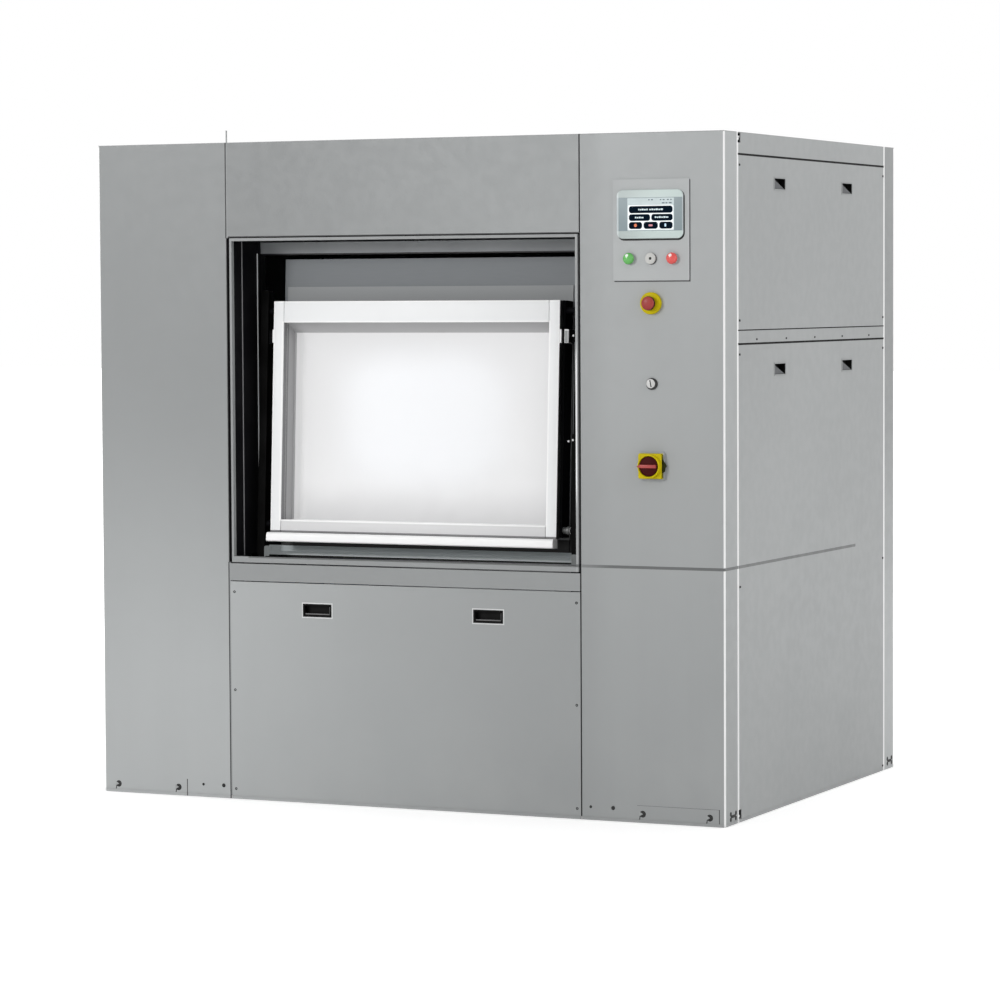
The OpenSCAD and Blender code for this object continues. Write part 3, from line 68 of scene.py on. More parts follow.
def operator(operation, swapped=False):
    """A method that adds a Math node for a socket and another socket or a number."""
    def act(self, other):
        return self.maths(operation, *((other, self) if swapped else (self, other)))
    return act


class Shade:
    """A socket in a material's node tree. Arithmetic on it adds Math nodes."""

    __add__ = __radd__ = operator("ADD")
    __sub__, __rsub__ = operator("SUBTRACT"), operator("SUBTRACT", True)
    __mul__ = __rmul__ = operator("MULTIPLY")
    __gt__, __lt__ = operator("GREATER_THAN"), operator("LESS_THAN")
    most, least = operator("MAXIMUM"), operator("MINIMUM")

    def __init__(self, tree, socket=None):
        self.tree, self.socket = tree, socket

    def add(self, kind, settings=None, inputs=None, out=0):
        """Adds a node. Its settings come first, then the values or links of its sockets."""
        node = self.tree.nodes.new("ShaderNode" + kind)
        for key, value in (settings or {}).items():
            setattr(node, key, value)
        for key, value in (inputs or {}).items():
            if isinstance(value, Shade):
                self.tree.links.new(value.socket, node.inputs[key])
            else:
                node.inputs[key].default_value = value
        return Shade(self.tree, node.outputs[out])

    def maths(self, operation, first, second=0.0):
        return self.add("Math", {"operation": operation}, {0: first, 1: second})

    def far(self):
        return self.maths("ABSOLUTE", self)

    def near(self, centre, reach):
        """1 where the socket lies within reach of the centre, 0 elsewhere."""
        return (self - centre).far() < reach

    def spread(self, low, high, to_low=0.0, to_high=1.0):
        """Maps the socket from one span to another, smoothly and clamped."""
        return self.add("MapRange", {"interpolation_type": "SMOOTHSTEP"},
                        {0: self, 1: low, 2: high, 3: to_low, 4: to_high})

    def blend(self, first, second):
        """Mixes two colours by this factor."""
        first, second = [c if isinstance(c, Shade) else (*c, 1) for c in (first, second)]
        return self.add("Mix", {"data_type": "RGBA"}, {0: self, 6: first, 7: second}, out=2)


class Finish:
    """A procedural material on the Principled shader. Constants are set on its own sockets."""

    def __init__(self, name, shine=0.5, **constants):
        self.material = bpy.data.materials.new(name)
        self.material.use_nodes = True
        self.tree = self.material.node_tree
        self.shader = self.tree.nodes["Principled BSDF"]
        self.shader.inputs["Specular IOR Level"].default_value = shine
        for key, value in constants.items():
            self.shader.inputs[key.replace("_", " ")].default_value = value
        self.start = Shade(self.tree)
        self.place = self.start.add("TexCoord", out=3)
        axes = self.start.add("SeparateXYZ", inputs={0: self.place})
        self.x, self.y, self.z = [Shade(self.tree, axes.socket.node.outputs[i]) for i in range(3)]

    def noise(self, scale, detail=2.0, stretch=(1, 1, 1)):
        along = self.start.add("VectorMath", {"operation": "MULTIPLY"}, {0: self.place, 1: stretch})
        return self.start.add("TexNoise", None, {"Vector": along, "Scale": scale, "Detail": detail})

    def clouds(self, scale, detail, first, second):
        """Two colours mixed by a soft noise."""
        return self.noise(scale, detail).spread(0.3, 0.7).blend(first, second)

    def rough(self, scale, detail, low, high):
        """A roughness that wanders between two values."""
        return self.noise(scale, detail).spread(0.3, 0.7, low, high)

    def feed(self, **sockets):
        for key, value in sockets.items():
            self.tree.links.new(value.socket, self.shader.inputs[key.replace("_", " ")])
        return self

    def glow(self, mask, colour):
        """Emission of a colour where the mask is 1."""
        self.shader.inputs["Emission Strength"].default_value = 1.0
        return self.feed(Emission_Color=mask.blend((0, 0, 0), colour))

    def bump(self, height, distance, strength=1.0):
        lift = self.start.add("Bump", None, {"Height": height, "Distance": distance, "Strength": strength})
        return self.feed(Normal=lift)

    def grained(self, scale, distance, strength, detail=2.0):
        return self.bump(self.noise(scale, detail), distance, strength)


def grey(level):
    return (level, level, level)


def seen_directly(start):
    """1 for the camera's own rays, also where they come by a mirror or through glass."""
    rays = start.add("LightPath")
    mirrored, through = [Shade(start.tree, rays.socket.node.outputs[kind])
                         for kind in ("Is Glossy Ray", "Is Transmission Ray")]
    return rays.most(mirrored).most(through)


def tones(colour, low, high):
    return [tuple(min(1.0, c * k) for c in colour) for k in (low, high)]


# The floor is a plain pale ground, white to the camera, which keeps the machine's soft shadow.
# The sky is a plain white studio; four large soft lamps light the machine's four sides.
floor_mesh = bpy.data.meshes.new("floor")
floor_mesh.from_pydata([(-60, -60, 0), (60, -60, 0), (60, 60, 0), (-60, 60, 0)], [], [(0, 1, 2, 3)])
put("floor", floor_mesh)
ground = Finish("floor_white", Roughness=1.0, shine=0.0, Base_Color=(0.82, 0.82, 0.82, 1))
ground.shader.inputs["Emission Color"].default_value = (1, 1, 1, 1)
away = ground.x.maths("POWER", ground.x, 2) + ground.x.maths("POWER", ground.y, 2)
glow = seen_directly(ground.start) * away.spread(6, 40, 0.4, 1.2)
ground.tree.links.new(glow.socket, ground.shader.inputs["Emission Strength"])
floor_mesh.materials.append(ground.material)

world = bpy.data.worlds.new("studio")
bpy.context.scene.world = world
world.use_nodes = True
sky = world.node_tree.nodes["Background"]
strength = seen_directly(Shade(world.node_tree)) * 0.42 + 0.58
world.node_tree.links.new(strength.socket, sky.inputs["Strength"])
sky.inputs["Color"].default_value = (1, 1, 1, 1)


def soft_lamp(name, place, target, size, power):
    lamp = bpy.data.lights.new(name, "AREA")
    lamp.shape, lamp.size, lamp.energy = "DISK", size, power
    holder = put(name, lamp)
    holder.location = place
    holder.rotation_euler = (Vector(target) - Vector(place)).to_track_quat("-Z", "Y").to_euler()


soft_lamp("front_lamp", (-3.0, -7.0, 3.2), (0, 0, 0.9), 2.0, 190)
soft_lamp("side_lamp", (7.5, -1.5, 4.0), (0.8, 0, 1.1), 3.5, 130)
soft_lamp("rear_lamp", (2.0, 7.5, 5.0), (0, 0, 1.1), 3.0, 260)
soft_lamp("left_lamp", (-7.5, 1.0, 4.0), (-0.8, 0, 1.1), 3.5, 180)


# Cabinet covers: folded sheet steel with a satin grey powder coat. The coat is a little
# uneven and gathers dust towards the floor. Painted highlights run along the vertical bends and
# the side joints, and each piece carries a painted shading from one end to the other.
half_w, half_d = 1.075, 0.7775
front_seam, rear_seam = -half_d + 0.111, half_d - 0.103
bay_low, bay_high, column_edge = 0.755, 1.779, 0.607
cover_grey, highlight_white = (0.352, 0.364, 0.366), (0.97, 0.97, 0.97)


def powder_coat(name, low=1.0, high=1.0, shade_span=None, bends=False):
    """The grey coat. Its tone goes from low to high along a span of the piece, (axis, from, to), as
    painted shading.

    The coat carries painted highlights along the side joints, along the vertical bends if bends
    is set, and along the right inner edge of the bay. It is dark in the joints round the bay and in
    level lines at its top and foot, with painted shade in the wider joint on the left of the bay and
    along the lower lip of the bay.
    """
    coat = Finish(name, IOR=1.45, shine=0.35)
    # Painted shading: the tone goes from low to high along the span.
    dark, light = [coat.clouds(0.9, 3, *tones(cover_grey, 0.97 * k, 1.03 * k)) for k in (low, high)]
    out = coat.x.far()
    axis, start, end = shade_span or ("z", 0, 1)
    base = getattr(coat, axis).spread(start, end).blend(dark, light)
    streak = coat.noise(1.4, 3, (9, 9, 0.5)).spread(0.35, 0.65)
    base = (streak * 0.05).blend(base, tones(cover_grey, 1, 1.1 * high)[1])
    dust = coat.z.spread(0.02, 0.5, 1.0, 0.0) * coat.noise(7, 4).spread(0.3, 0.8)
    base = (dust * 0.12).blend(base, (0.46, 0.46, 0.45))
    # Painted highlight: a light band on the sides along their joints to the columns.
    seam_highlight = (coat.y - front_seam).far().least((coat.y - rear_seam).far()).spread(0.0054, 0.0074, 1.0, 0.0)
    base = ((out > half_w - 0.002) * seam_highlight * 0.9).blend(base, highlight_white)
    if bends:
        # Painted highlight along the vertical bends.
        edge = (half_w - out).most((half_d - coat.y.far()) * 0.4).spread(0.0024, 0.0042, 1.0, 0.0)
        base = (edge * 0.95).blend(base, highlight_white)
    left, right = coat.x * coat.y > 0, coat.x * coat.y < 0
    beside_bay = (coat.z > bay_low) * (coat.z < bay_high)
    # Painted shade: left of the bay a wider dark band stands for the shaded depth of the joint.
    joint_and_shade = out.near(0.6051, 0.0059) * beside_bay * left
    joint = out.near(column_edge, 0.0024) * (1.0 - left)
    joint = joint.most(out.near(0.611, 0.002) * left * (1.0 - beside_bay)).most(joint_and_shade)
    level = coat.z.near(bay_high + 0.003, 0.003).most(coat.z.near(bay_low - 0.0015, 0.0022))
    base = joint.most(level * (out < column_edge - 0.003)).blend(base, (0.03, 0.03, 0.032))
    # Painted highlight along the right inner edge of the bay, fading towards its top and foot.
    bay_edge_highlight = out.near(0.5938, 0.0026) * beside_bay * right * (coat.y.far() > 0.777)
    bay_edge_highlight = bay_edge_highlight * coat.z.spread(1.38, 1.46, 0.85, 0.1) * coat.z.spread(0.92, 1.04, 0.1, 1.0)
    base = bay_edge_highlight.blend(base, highlight_white)
    # Painted shade along the lower lip of the bay.
    painted_sill_band = (coat.z > 0.77) * (coat.z < 0.779) * (coat.x * coat.y < 0.42)
    base = painted_sill_band.blend(base, (0.13, 0.135, 0.135))
    coat.feed(Base_Color=base, Roughness=coat.rough(30, 3, 0.42, 0.52))
    return coat.grained(420, 0.0003, 0.25)


def dress(material, *names):
    for name in names:
        for part in nodes[name].material_slots:
            part.material = material


# The low and high tones given to each piece here are painted shading.
column_coat = powder_coat("coat_columns", 1.22, 0.77, ("z", 0.2, 1.45), bends=True).material
dress(column_coat, "left_front_cover", "left_rear_cover", "right_rear_cover")
dress(powder_coat("coat_headers", 0.71, 0.93, ("x", -0.6, 0.6)).material, "header_panels")
panel_coat = powder_coat("coat_lower_panels", 1.16, 0.87, ("x", -0.8, 0.65)).material
dress(panel_coat, "lower_panels")
rail_coat = powder_coat("coat_rails", 0.77, 0.83).material
dress(rail_coat, "mid_rails", "opening_bezels", "top_panel")
side_coat = powder_coat("coat_sides", 0.93, 0.94).material
dress(side_coat, "upper_side_panels", "lower_side_panels", "side_rails")

TURN = Matrix.Rotation(pi, 4, "Z")
MIRROR = Matrix.Diagonal((-1, 1, 1, 1))
STAY = Matrix.Identity(4)
ENDS, SIDES = (STAY, TURN), (STAY, MIRROR)
cover = "electrical_cover"


class Blank:
    """Raw shape of a piece. Bars, turned shapes and cut plates are joined in it in metres."""

    def __init__(self):
        self.mesh = bmesh.new()

    def bar(self, low, high, edge=0.0, steps=2):
        low, high = Vector(low), Vector(high)
        size = Matrix.Diagonal((*(high - low), 1))
        made = bmesh.ops.create_cube(self.mesh, size=1, matrix=Matrix.Translation((low + high) / 2) @ size)
        if edge:
            edges = list({e for v in made["verts"] for e in v.link_edges})
            bmesh.ops.bevel(self.mesh, geom=edges, offset=edge, segments=steps, affect="EDGES", profile=0.5)
        return self

    def turned(self, outline, place, axis="-Y", steps=40):
        """A shape turned on the lathe: outline is (radius, distance along the axis) from end to end."""
        lay = Matrix({"-Y": ((1, 0, 0), (0, 0, -1), (0, 1, 0)), "X": ((0, 0, 1), (1, 0, 0), (0, 1, 0)),
                      "-X": ((0, 0, -1), (-1, 0, 0), (0, 1, 0))}[axis])
        rings = []
        for radius, along in outline:
            turns = steps if radius > 1e-6 else 1
            rings.append([self.mesh.verts.new(Vector(place) + lay @ Vector((
                radius * cos(tau * k / steps), radius * sin(tau * k / steps), along)))
                for k in range(turns)])
        for first, second in zip(rings, rings[1:]):
            for k in range(steps):
                corners = [first[k % len(first)], first[(k + 1) % len(first)],
                           second[(k + 1) % len(second)], second[k % len(second)]]
                loop = list(dict.fromkeys(corners))
                if len(loop) > 2:
                    self.mesh.faces.new(loop)
        return self

    def plate(self, outline, front, depth, edge=0.0):
        """A plate cut to an outline of (x, z) points, its front face at y = front."""
        near = [self.mesh.verts.new((x, front, z)) for x, z in outline]
        face = self.mesh.faces.new(near)
        made = bmesh.ops.extrude_face_region(self.mesh, geom=[face])
        far = [v for v in made["geom"] if isinstance(v, bmesh.types.BMVert)]
        bmesh.ops.translate(self.mesh, verts=far, vec=(0, depth, 0))
        if edge:
            rim = [e for e in self.mesh.edges if e.verts[0] in near and e.verts[1] in near]
            bmesh.ops.bevel(self.mesh, geom=rim, offset=edge, segments=3, affect="EDGES", profile=0.5)
        return self

    def done(self, name, body, material, slot, moves=(STAY,), hides=(), sharp=35):
        """Makes the object: copies of the blank under each move, riding on the body."""
        bmesh.ops.recalc_face_normals(self.mesh, faces=self.mesh.faces)
        whole = bmesh.new()
        for move in moves:
            part = self.mesh.copy()
            bmesh.ops.transform(part, matrix=move, verts=part.verts)
            if move.determinant() < 0:
                bmesh.ops.reverse_faces(part, faces=part.faces)
            data = bpy.data.meshes.new("part")
            part.to_mesh(data)
            part.free()
            whole.from_mesh(data)
            bpy.data.meshes.remove(data)
        mesh = bpy.data.meshes.new(name)
        whole.to_mesh(mesh)
        whole.free()
        self.mesh.free()
        for face in mesh.polygons:
            face.use_smooth = True
        mesh.set_sharp_from_angle(angle=radians(sharp))
        mesh.materials.append(material)
        piece = put(name, mesh)
        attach(piece, body)
        if hides:
            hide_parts(*hides)


def rounded(x0, x1, z0, z1, radius, steps=6):
    """Outline of a rectangle with rounded corners, as (x, z) points."""
    points = []
    for turn, (x, z) in enumerate(((x1, z1), (x0, z1), (x0, z0), (x1, z0))):
        cx, cz = x - copysign(radius, x - (x0 + x1) / 2), z - copysign(radius, z - (z0 + z1) / 2)
        for k in range(steps + 1):
            angle = pi / 2 * (turn + k / steps)
            points.append((cx + radius * cos(angle), cz + radius * sin(angle)))
    return points


def plain(name, colour, rough, bump=0.0002, scale=300, spread=0.08, **constants):
    """A finish with a slightly uneven colour, roughness and surface."""
    coat = Finish(name, **constants)
    coat.feed(Base_Color=coat.clouds(scale / 40, 3, *tones(colour, 1 - spread, 1 + spread)),
              Roughness=coat.rough(scale / 10, 3, rough - 0.05, rough + 0.05))
    return coat.grained(scale, bump, 0.3).material


# Joint strips: light strips that close the gaps between the corner columns and the side covers,
# pushed between the two sheets over the whole height. Their light colour is a painted highlight
# for the bends beside the joints; the same white serves the shoe stops and rail screws.
white_trim_and_highlight = plain("white_trim_and_seam_highlight", grey(0.95), 0.35)
strips = Blank()
for y in (front_seam, rear_seam - 0.003):
    strips.bar((half_w - 0.012, y + 0.0002, 0.0105), (half_w - 0.0002, y + 0.0028, 2.0778), 0.0006)
strips.done("side_seam_highlight_strips", "cabinet", white_trim_and_highlight, "zinc", SIDES)

# Joint seals: black rubber lips in the level joints above and below the rail between the side
# panels and under the top rail.
seal_black = plain("joint_seal_black", grey(0.006), 0.8, shine=0.1)
seals = Blank()
for z0, z1 in ((1.4422, 1.4482), (1.485, 1.4884), (2.0108, 2.017)):
    seals.bar((half_w - 0.0015, front_seam + 0.0035, z0),
              (half_w + 0.0003, rear_seam - 0.0035, z1), 0.0001, 1)
seals.done("side_joint_seals", "cabinet", seal_black, "rubber_black", SIDES)

# Skirts: thin lips under the covers that close them down to the floor, each in the coat of the
# cover above it. The one below the electrical door swings with it.
skirt_low, skirt_high, sheet = 0.0012, 0.0106, 0.0013
for label, material, spans, moves in (
        ("left_column", column_coat, ((-half_w, -half_d, -0.6086, -half_d + sheet),
                                      (-half_w, -half_d, -half_w + sheet, front_seam - 0.0016)), (STAY,)),
        ("rear_columns", column_coat, ((0.6086, half_d - sheet, half_w, half_d),
                                       (half_w - sheet, rear_seam + 0.0016, half_w, half_d)), SIDES),
        ("front_rear", panel_coat, ((-0.6054, -half_d, 0.6054, -half_d + sheet),), ENDS),
        ("side", side_coat, ((half_w - sheet, front_seam + 0.0016, half_w, rear_seam - 0.0016),), SIDES)):
    skirt = Blank()
    for xa, ya, xb, yb in spans:
        skirt.bar((xa, ya, skirt_low), (xb, yb, skirt_high))
    skirt.done(label + "_skirt", "cabinet", material, "cover_grey", moves)

# Column strips: narrow coated strips in the joints between the left column and the covers
# beside it, below and above the bay, and in the same joints of the rear side.
strips = Blank()
for low, high in ((0.011, 0.7545), (1.7795, 2.118)):
    strips.bar((-0.609, -half_d + 0.0002, low), (-0.605, -half_d + 0.0032, high), 0.0002, 1)
strips.done("left_joint_strips", "cabinet", rail_coat, "cover_grey", ENDS)

# Cover screws: black button heads with a hexagon socket, in the sides, the lower panels and the
# rail between the side panels. Those in the sides sit on short black oval washers.
screw_black = plain("screw_black", (0.006, 0.006, 0.007), 0.6, shine=0.15)


def screw_head(blank, place, axis, radius=0.0045, rise=0.0009):
    blank.turned([(0, -0.0008), (radius * 0.45, -0.0008), (radius * 0.5, rise * 0.9), (radius * 0.7, rise),
                  (radius * 0.92, rise * 0.7), (radius, rise * 0.3), (radius, -0.0015)], place, axis, 14)


def side_screw(blank, y, z, radius):
    screw_head(blank, (half_w, y, z), "X", radius, 0.0003)
    for shift in (-1, 1):
        washer = [(0, 0.0002), (radius, 0.0002), (radius, -0.0012)]
        blank.turned(washer, (half_w, y + shift * radius, z), "X", 14)


screws = Blank()
for y in (-0.6505, 0.6635):
    for z in (1.982, 1.516, 1.414, 0.714, 0.018):
        side_screw(screws, y, z, 0.0036)
for y in (-0.5065, -0.2515, 0.0055, 0.2625, 0.5225):
    side_screw(screws, y, 1.458, 0.0031)
screws.done("side_screws", "cabinet", screw_black, "gear_grey", SIDES)
screws = Blank()
for x in (-0.592, 0.592):
    for z in (0.033, 0.349, 0.661):
        screw_head(screws, (x, -half_d, z), "-Y", 0.0042)
screws.done("lower_panel_screws", "cabinet", screw_black, "gear_grey", ENDS)

# Column feet: hook bolts in open keyholes with a slit down to the floor, two plain fixing holes,
# and a thin access plate at the bottom of the right column.
hole_black = plain("hole_black", grey(0.006), 0.7)
hook_grey = plain("hook_grey", tuple(0.98 * c for c in cover_grey), 0.5)


def stud(blank, radius, rise, edge, place, axis="-Y", steps=16):
    """A low round head with a sloping edge: edge is (how far it narrows, how high it starts)."""
    narrows, starts = edge
    outline = [(0, rise), (radius - narrows, rise), (radius, starts), (radius, -0.001)]
    blank.turned(outline, place, axis, steps)


def hook_bolts(places):
    holes, bolts = Blank(), Blank()
    for x in places:
        stud(holes, 0.0105, 0.0004, (0.001, 0), (x, -half_d, 0.0275), steps=24)
        slit = [(-0.0115, 0.0105), (-0.0085, 0.0105), (-0.0065, 0.0235), (-0.0095, 0.0235)]
        holes.plate([(x + u, z) for u, z in slit], -half_d - 0.0003, 0.001)
        hook = [(-0.0112, 0.035), (0.001, 0.0275), (-0.0112, 0.0205)]
        bolts.plate([(x + u, z) for u, z in hook], -half_d - 0.0008, 0.0008)
        holes.turned([(0, 0.0016), (0.003, 0.0014), (0.0042, 0.0006), (0.0042, -0.001)],
                     (x + 0.0045, -half_d, 0.0275), "-Y", 6)
    return holes, bolts


for body, places, moves, label in (("cabinet", (-1.024, -0.802), (STAY,), "left_front"),
                                   (cover, (0.808, 1.026), (STAY,), "right_front"),
                                   ("cabinet", (-1.024, -0.802, 0.808, 1.026), (TURN,), "rear")):
    holes, bolts = hook_bolts(places)
    for x, radius in ((-0.637, 0.0065), (-0.711, 0.0045), (0.637, 0.0045), (0.711, 0.0065)):
        if any(x * place > 0 for place in places):
            stud(holes, radius, 0.0004, (0.1 * radius, 0), (x, -half_d, 0.041), steps=20)
    holes.done(label + "_foot_holes", body, hole_black, "gear_grey", moves)
    bolts.done(label + "_foot_bolts", body, hook_grey, "zinc", moves)

slits = Blank()
slits.bar((-0.7712, -half_d - 0.0003, 0.0014), (-0.7688, -half_d + 0.001, 0.055))
slits.done("left_foot_slit", "cabinet", hole_black, "gear_grey")
slits = Blank()
slits.bar((0.79, -half_d - 0.0003, 0.0528), (1.057, -half_d + 0.001, 0.0535))
slits.bar((1.0555, -half_d - 0.0003, 0.0102), (1.058, -half_d + 0.001, 0.0535))
edge_dark = plain("plate_edge_dark", grey(0.05), 0.6)
slits.done("right_foot_plate_edge", cover, edge_dark, "gear_grey")

# Side anchors: two black clamp bolts through each column return just above the floor.
for body, label, places in ((cover, "right_front", ((1, -0.7095),)),
                            ("cabinet", "other", ((-1, -0.7095), (1, 0.7325), (-1, 0.7325)))):
    clamps = Blank()
    for side, y in places:
        face, axis = side * half_w, "X" if side > 0 else "-X"
        for shift, rise in ((-0.021, -0.008), (-0.021, 0.008), (0.021, -0.008), (0.021, 0.008)):
            stud(clamps, 0.0072, 0.0009, (0.001, 0.0003), (face, y + shift, 0.027 + rise), axis)
        clamps.bar((face - 0.001, y - 0.02, 0.0225), (face + 0.0007, y + 0.02, 0.0315), 0.0003)
    clamps.done(label + "_side_clamps", body, hole_black, "gear_grey")

# Recessed grips: black moulded cups set in the covers. Those in front have a light rim round the
# cut-out and a lip that catches the light. Those in the sides have a coated rim and a slanted cheek.
cup = Finish("grip_black", shine=0.12, IOR=1.45)
cup_grain = cup.clouds(12, 3, grey(0.003), grey(0.007))
cup.feed(Base_Color=(cup.x.far() > half_w - 0.0004).blend(cup_grain, tuple(0.93 * c for c in cover_grey)),
         Roughness=cup.rough(30, 2, 0.5, 0.6))
dress(cup.grained(300, 0.0002, 0.3).material, "recessed_grips")
rim_light = plain("grip_rim_light", (0.62, 0.63, 0.63), 0.45)
lip_grey = plain("grip_lip_grey", grey(0.11), 0.5)
cheek_grey = plain("grip_cheek_grey", (0.095, 0.1, 0.105), 0.6, shine=0.2)


def frame_round(blank, x, z, wide, high, rim, front, depth):
    """Four thin bars round a cut-out centred on (x, z)."""
    for x0, z0, x1, z1 in ((-wide - rim, high, wide + rim, high + rim), (-wide - rim, -high, -wide, high),
                           (-wide - rim, -high - rim, wide + rim, -high), (wide, -high, wide + rim, high)):
        blank.bar((x + x0, front, z + z0), (x + x1, front + depth, z + z1))


rims, lips = Blank(), Blank()
for x in (-0.296, 0.296):
    frame_round(rims, x, 0.61, 0.0505, 0.0205, 0.0038, -half_d - 0.0006, 0.001)
    lips.bar((x - 0.043, -half_d + 0.001, 0.5965), (x + 0.043, -half_d + 0.004, 0.6005), 0.001)
    lips.bar((x + 0.0415, -half_d + 0.002, 0.598), (x + 0.043, -half_d + 0.012, 0.622), 0.0005)
rims.done("lower_grip_rims", "cabinet", rim_light, "cover_grey", ENDS)
lips.done("lower_grip_lips", "cabinet", lip_grey, "plastic_black", ENDS)

QUARTER = Matrix.Rotation(pi / 2, 4, "Z")
ON_SIDE = Matrix.Translation((half_w, 0, 0)) @ QUARTER @ Matrix.Translation((0, half_d, 0))
rims, cheeks = Blank(), Blank()
for along in (-0.308, 0.308):
    for z in (1.933, 1.364):
        rims.bar((along - 0.047, -half_d - 0.0005, z - 0.02),
                 (along + 0.047, -half_d + 0.0005, z - 0.0172))
        cheek = [(-0.044, -0.015), (0.04, -0.015), (-0.044, 0.012)]
        cheeks.plate([(along + u, z + w) for u, w in cheek], -half_d + 0.0005, 0.012)
rims.done("side_grip_edges", "cabinet", rim_light, "cover_grey", (ON_SIDE, MIRROR @ ON_SIDE))
cheeks.done("side_grip_cheeks", "cabinet", cheek_grey, "plastic_black", (ON_SIDE, MIRROR @ ON_SIDE))

# Bay behind the opening: black lining sheets with two raised ribs each, and the dark grey inner
# ring of square tube that the covers of the bay are screwed to. Here, and in the pieces of the
# door, a faint glow stands in for light that comes back from the floor.
lining = Finish("lining_black", Roughness=0.7, shine=0.05)
# Painted highlights: the ribs are painted light grey on the black sheet, the rear rib near white, and that
# rib also glows.
rib = (lining.x.far() < 0.5915) * (lining.z < 1.769)
shade = lining.clouds(6, 3, (0.004, 0.004, 0.005), (0.009, 0.009, 0.01))
rear_rib = rib * (lining.y.far() < 0.65) * (lining.z < 1.732)
rib = rib * (lining.y.far() > 0.65)
lining.feed(Base_Color=rear_rib.blend(rib.blend(shade, (0.36, 0.36, 0.37)), (0.85, 0.86, 0.86)))
lining.glow(rear_rib, (0.1, 0.105, 0.105))
dress(lining.grained(300, 0.0002, 0.2).material, "jamb_linings")
ring = Finish("ring_grey", Roughness=0.5, shine=0.3)
# Painted shade: the ring is painted near black on its uprights and far side, above and below the sill band
# and under the head, where the bay lies in shade.
dark = (ring.x.far() > 0.5985).most(ring.y.far() < 0.5)
dark = dark.most((ring.x.far() > 0.545) * (ring.z < 1.7265) * (ring.z > 0.83))
dark = dark.most((ring.z < 1.2) * ((ring.z - 0.7835).far() > 0.0155))
dark = dark.most((ring.z > 1.2) * (ring.z < 1.7315))
patch = ring.clouds(5, 3, (0.33, 0.345, 0.355), (0.37, 0.385, 0.395))
# Painted light: the sill is painted near white and glows, as light that comes in under the door.
sill = (ring.z < 1.2).blend(patch, (0.9, 0.94, 0.95))
ring.feed(Base_Color=dark.blend(sill, (0.007, 0.007, 0.008)))
ring.glow((ring.z < 0.83) * (1.0 - dark), (0.08, 0.088, 0.088))
dress(ring.grained(300, 0.0002, 0.2).material, "bay_rings")

# Tub mouth: the flat face of the tub behind the outer door, in brushed stainless steel, painted as
# flat greys that are a painted reflection of the dark bay, with a lighter raised collar and a
# black rubber seal.
tilt, unit_z = radians(3.03), 1.18
LEAN = Matrix.Translation((0, 0, unit_z)) @ Matrix.Rotation(-tilt, 4, "X")
mouth = Finish("mouth_steel", Roughness=0.5, shine=0.3)
grain = mouth.noise(14, 4, (1, 1, 24)).spread(0.3, 0.7)
collar = (mouth.z > 0.8) * (mouth.z < 1.625) * (mouth.x.far() < 0.499)
base = collar.blend((0.195, 0.209, 0.221), (0.312, 0.324, 0.33))
tone = (grain * 0.06).blend(base, (0.34, 0.34, 0.35))
# Painted shade: the face is painted near black beside the door and low down, where it lies in shade.
painted_shade = ((mouth.x.far() > 0.499) * (mouth.z < 1.555)).most((mouth.z < 0.84) * (mouth.x.far() > 0.46))
tone = painted_shade.most(mouth.z < 0.812).blend(tone, grey(0.003))
# Painted light: the lowest part of the face is painted pale grey and glows faintly, as light under the
# door.
painted_sill_band = mouth.z < 0.8005
mouth.feed(Base_Color=painted_sill_band.blend(tone, (0.5, 0.54, 0.55)))
mouth.glow(painted_sill_band, (0.022, 0.026, 0.027))
dress(mouth.bump(grain, 0.0001, 0.3).material, "tub_mouths")
dress(plain("seal_rubber", grey(0.012), 0.7, 0.0004, 160), "mouth_seals")

# Outer doors: a white powder-coated frame of two stiles and two rails round a deep recess, with
# a folded panel at its bottom and a rounded ledge along the lower edge.
door_half, door_up, door_low, door_face = 0.497, 0.3645, 0.368, -0.684
stile, top_rail, low_rail, deep = 0.036, 0.068, 0.037, 0.08
inner, pan_low, pan_high = door_half - stile, low_rail - door_up, door_up - top_rail
frame_back, aside = door_face + 0.028, 0.005
white = Finish("door_white_coat", shine=0.25, IOR=1.45)
cloud = white.noise(1.1, 3).spread(0.3, 0.7)
facing = (white.y < 0).spread(0, 1, -1, 1)
along = white.x * facing + aside
height = white.y.far() * -sin(tilt) + (white.z - unit_z) * cos(tilt)
depth = white.y.far() * -cos(tilt) - (white.z - unit_z) * sin(tilt) - door_face
inside = (along.far() < 0.4615) * (height < 0.297) * (height > -0.328) * (depth > 0.004)
# Painted shading on the panel: lightest in the middle, darker towards its edges and darkest at its lower
# edge, lighter by the left wall, darker by the right wall and at the far left fold.
middle = (along.far().spread(0.08, 0.45, 1, 0) * height.far().spread(0.06, 0.33, 1, 0)).spread(0, 0.9)
low_edge = height.spread(-0.33, -0.19, 1, 0) * 0.85
pan_tone = middle.blend(low_edge.blend((0.85, 0.85, 0.855), (0.66, 0.66, 0.665)), (0.965, 0.975, 0.995))
pan_tone = along.spread(-0.46, -0.4, 0.7, 0.0).blend(pan_tone, grey(0.98))
pan_tone = along.spread(0.425, 0.456, 0.0, 0.5).blend(pan_tone, (0.6, 0.6, 0.605))
pan_tone = (along < -0.4545).blend(pan_tone, (0.56, 0.56, 0.565))
floor_of_pan = depth > deep - 0.0035
# Painted shade in the recess: the side walls darken towards the front, the top wall is a painted shadow
# darkest at its front edge, and the lower wall is painted light, as lit from above.
flank = depth.spread(0.034, 0.04).blend((0.215, 0.215, 0.22), (0.41, 0.41, 0.415))
side_wall = along.far() > 0.46
roof = depth.spread(0.006, 0.013).blend((0.1, 0.1, 0.105), (0.44, 0.44, 0.445))
wall_tone = side_wall.blend((height < 0).blend(roof, (0.97, 0.97, 0.975)), flank)
pan_tone = floor_of_pan.blend(wall_tone, pan_tone)
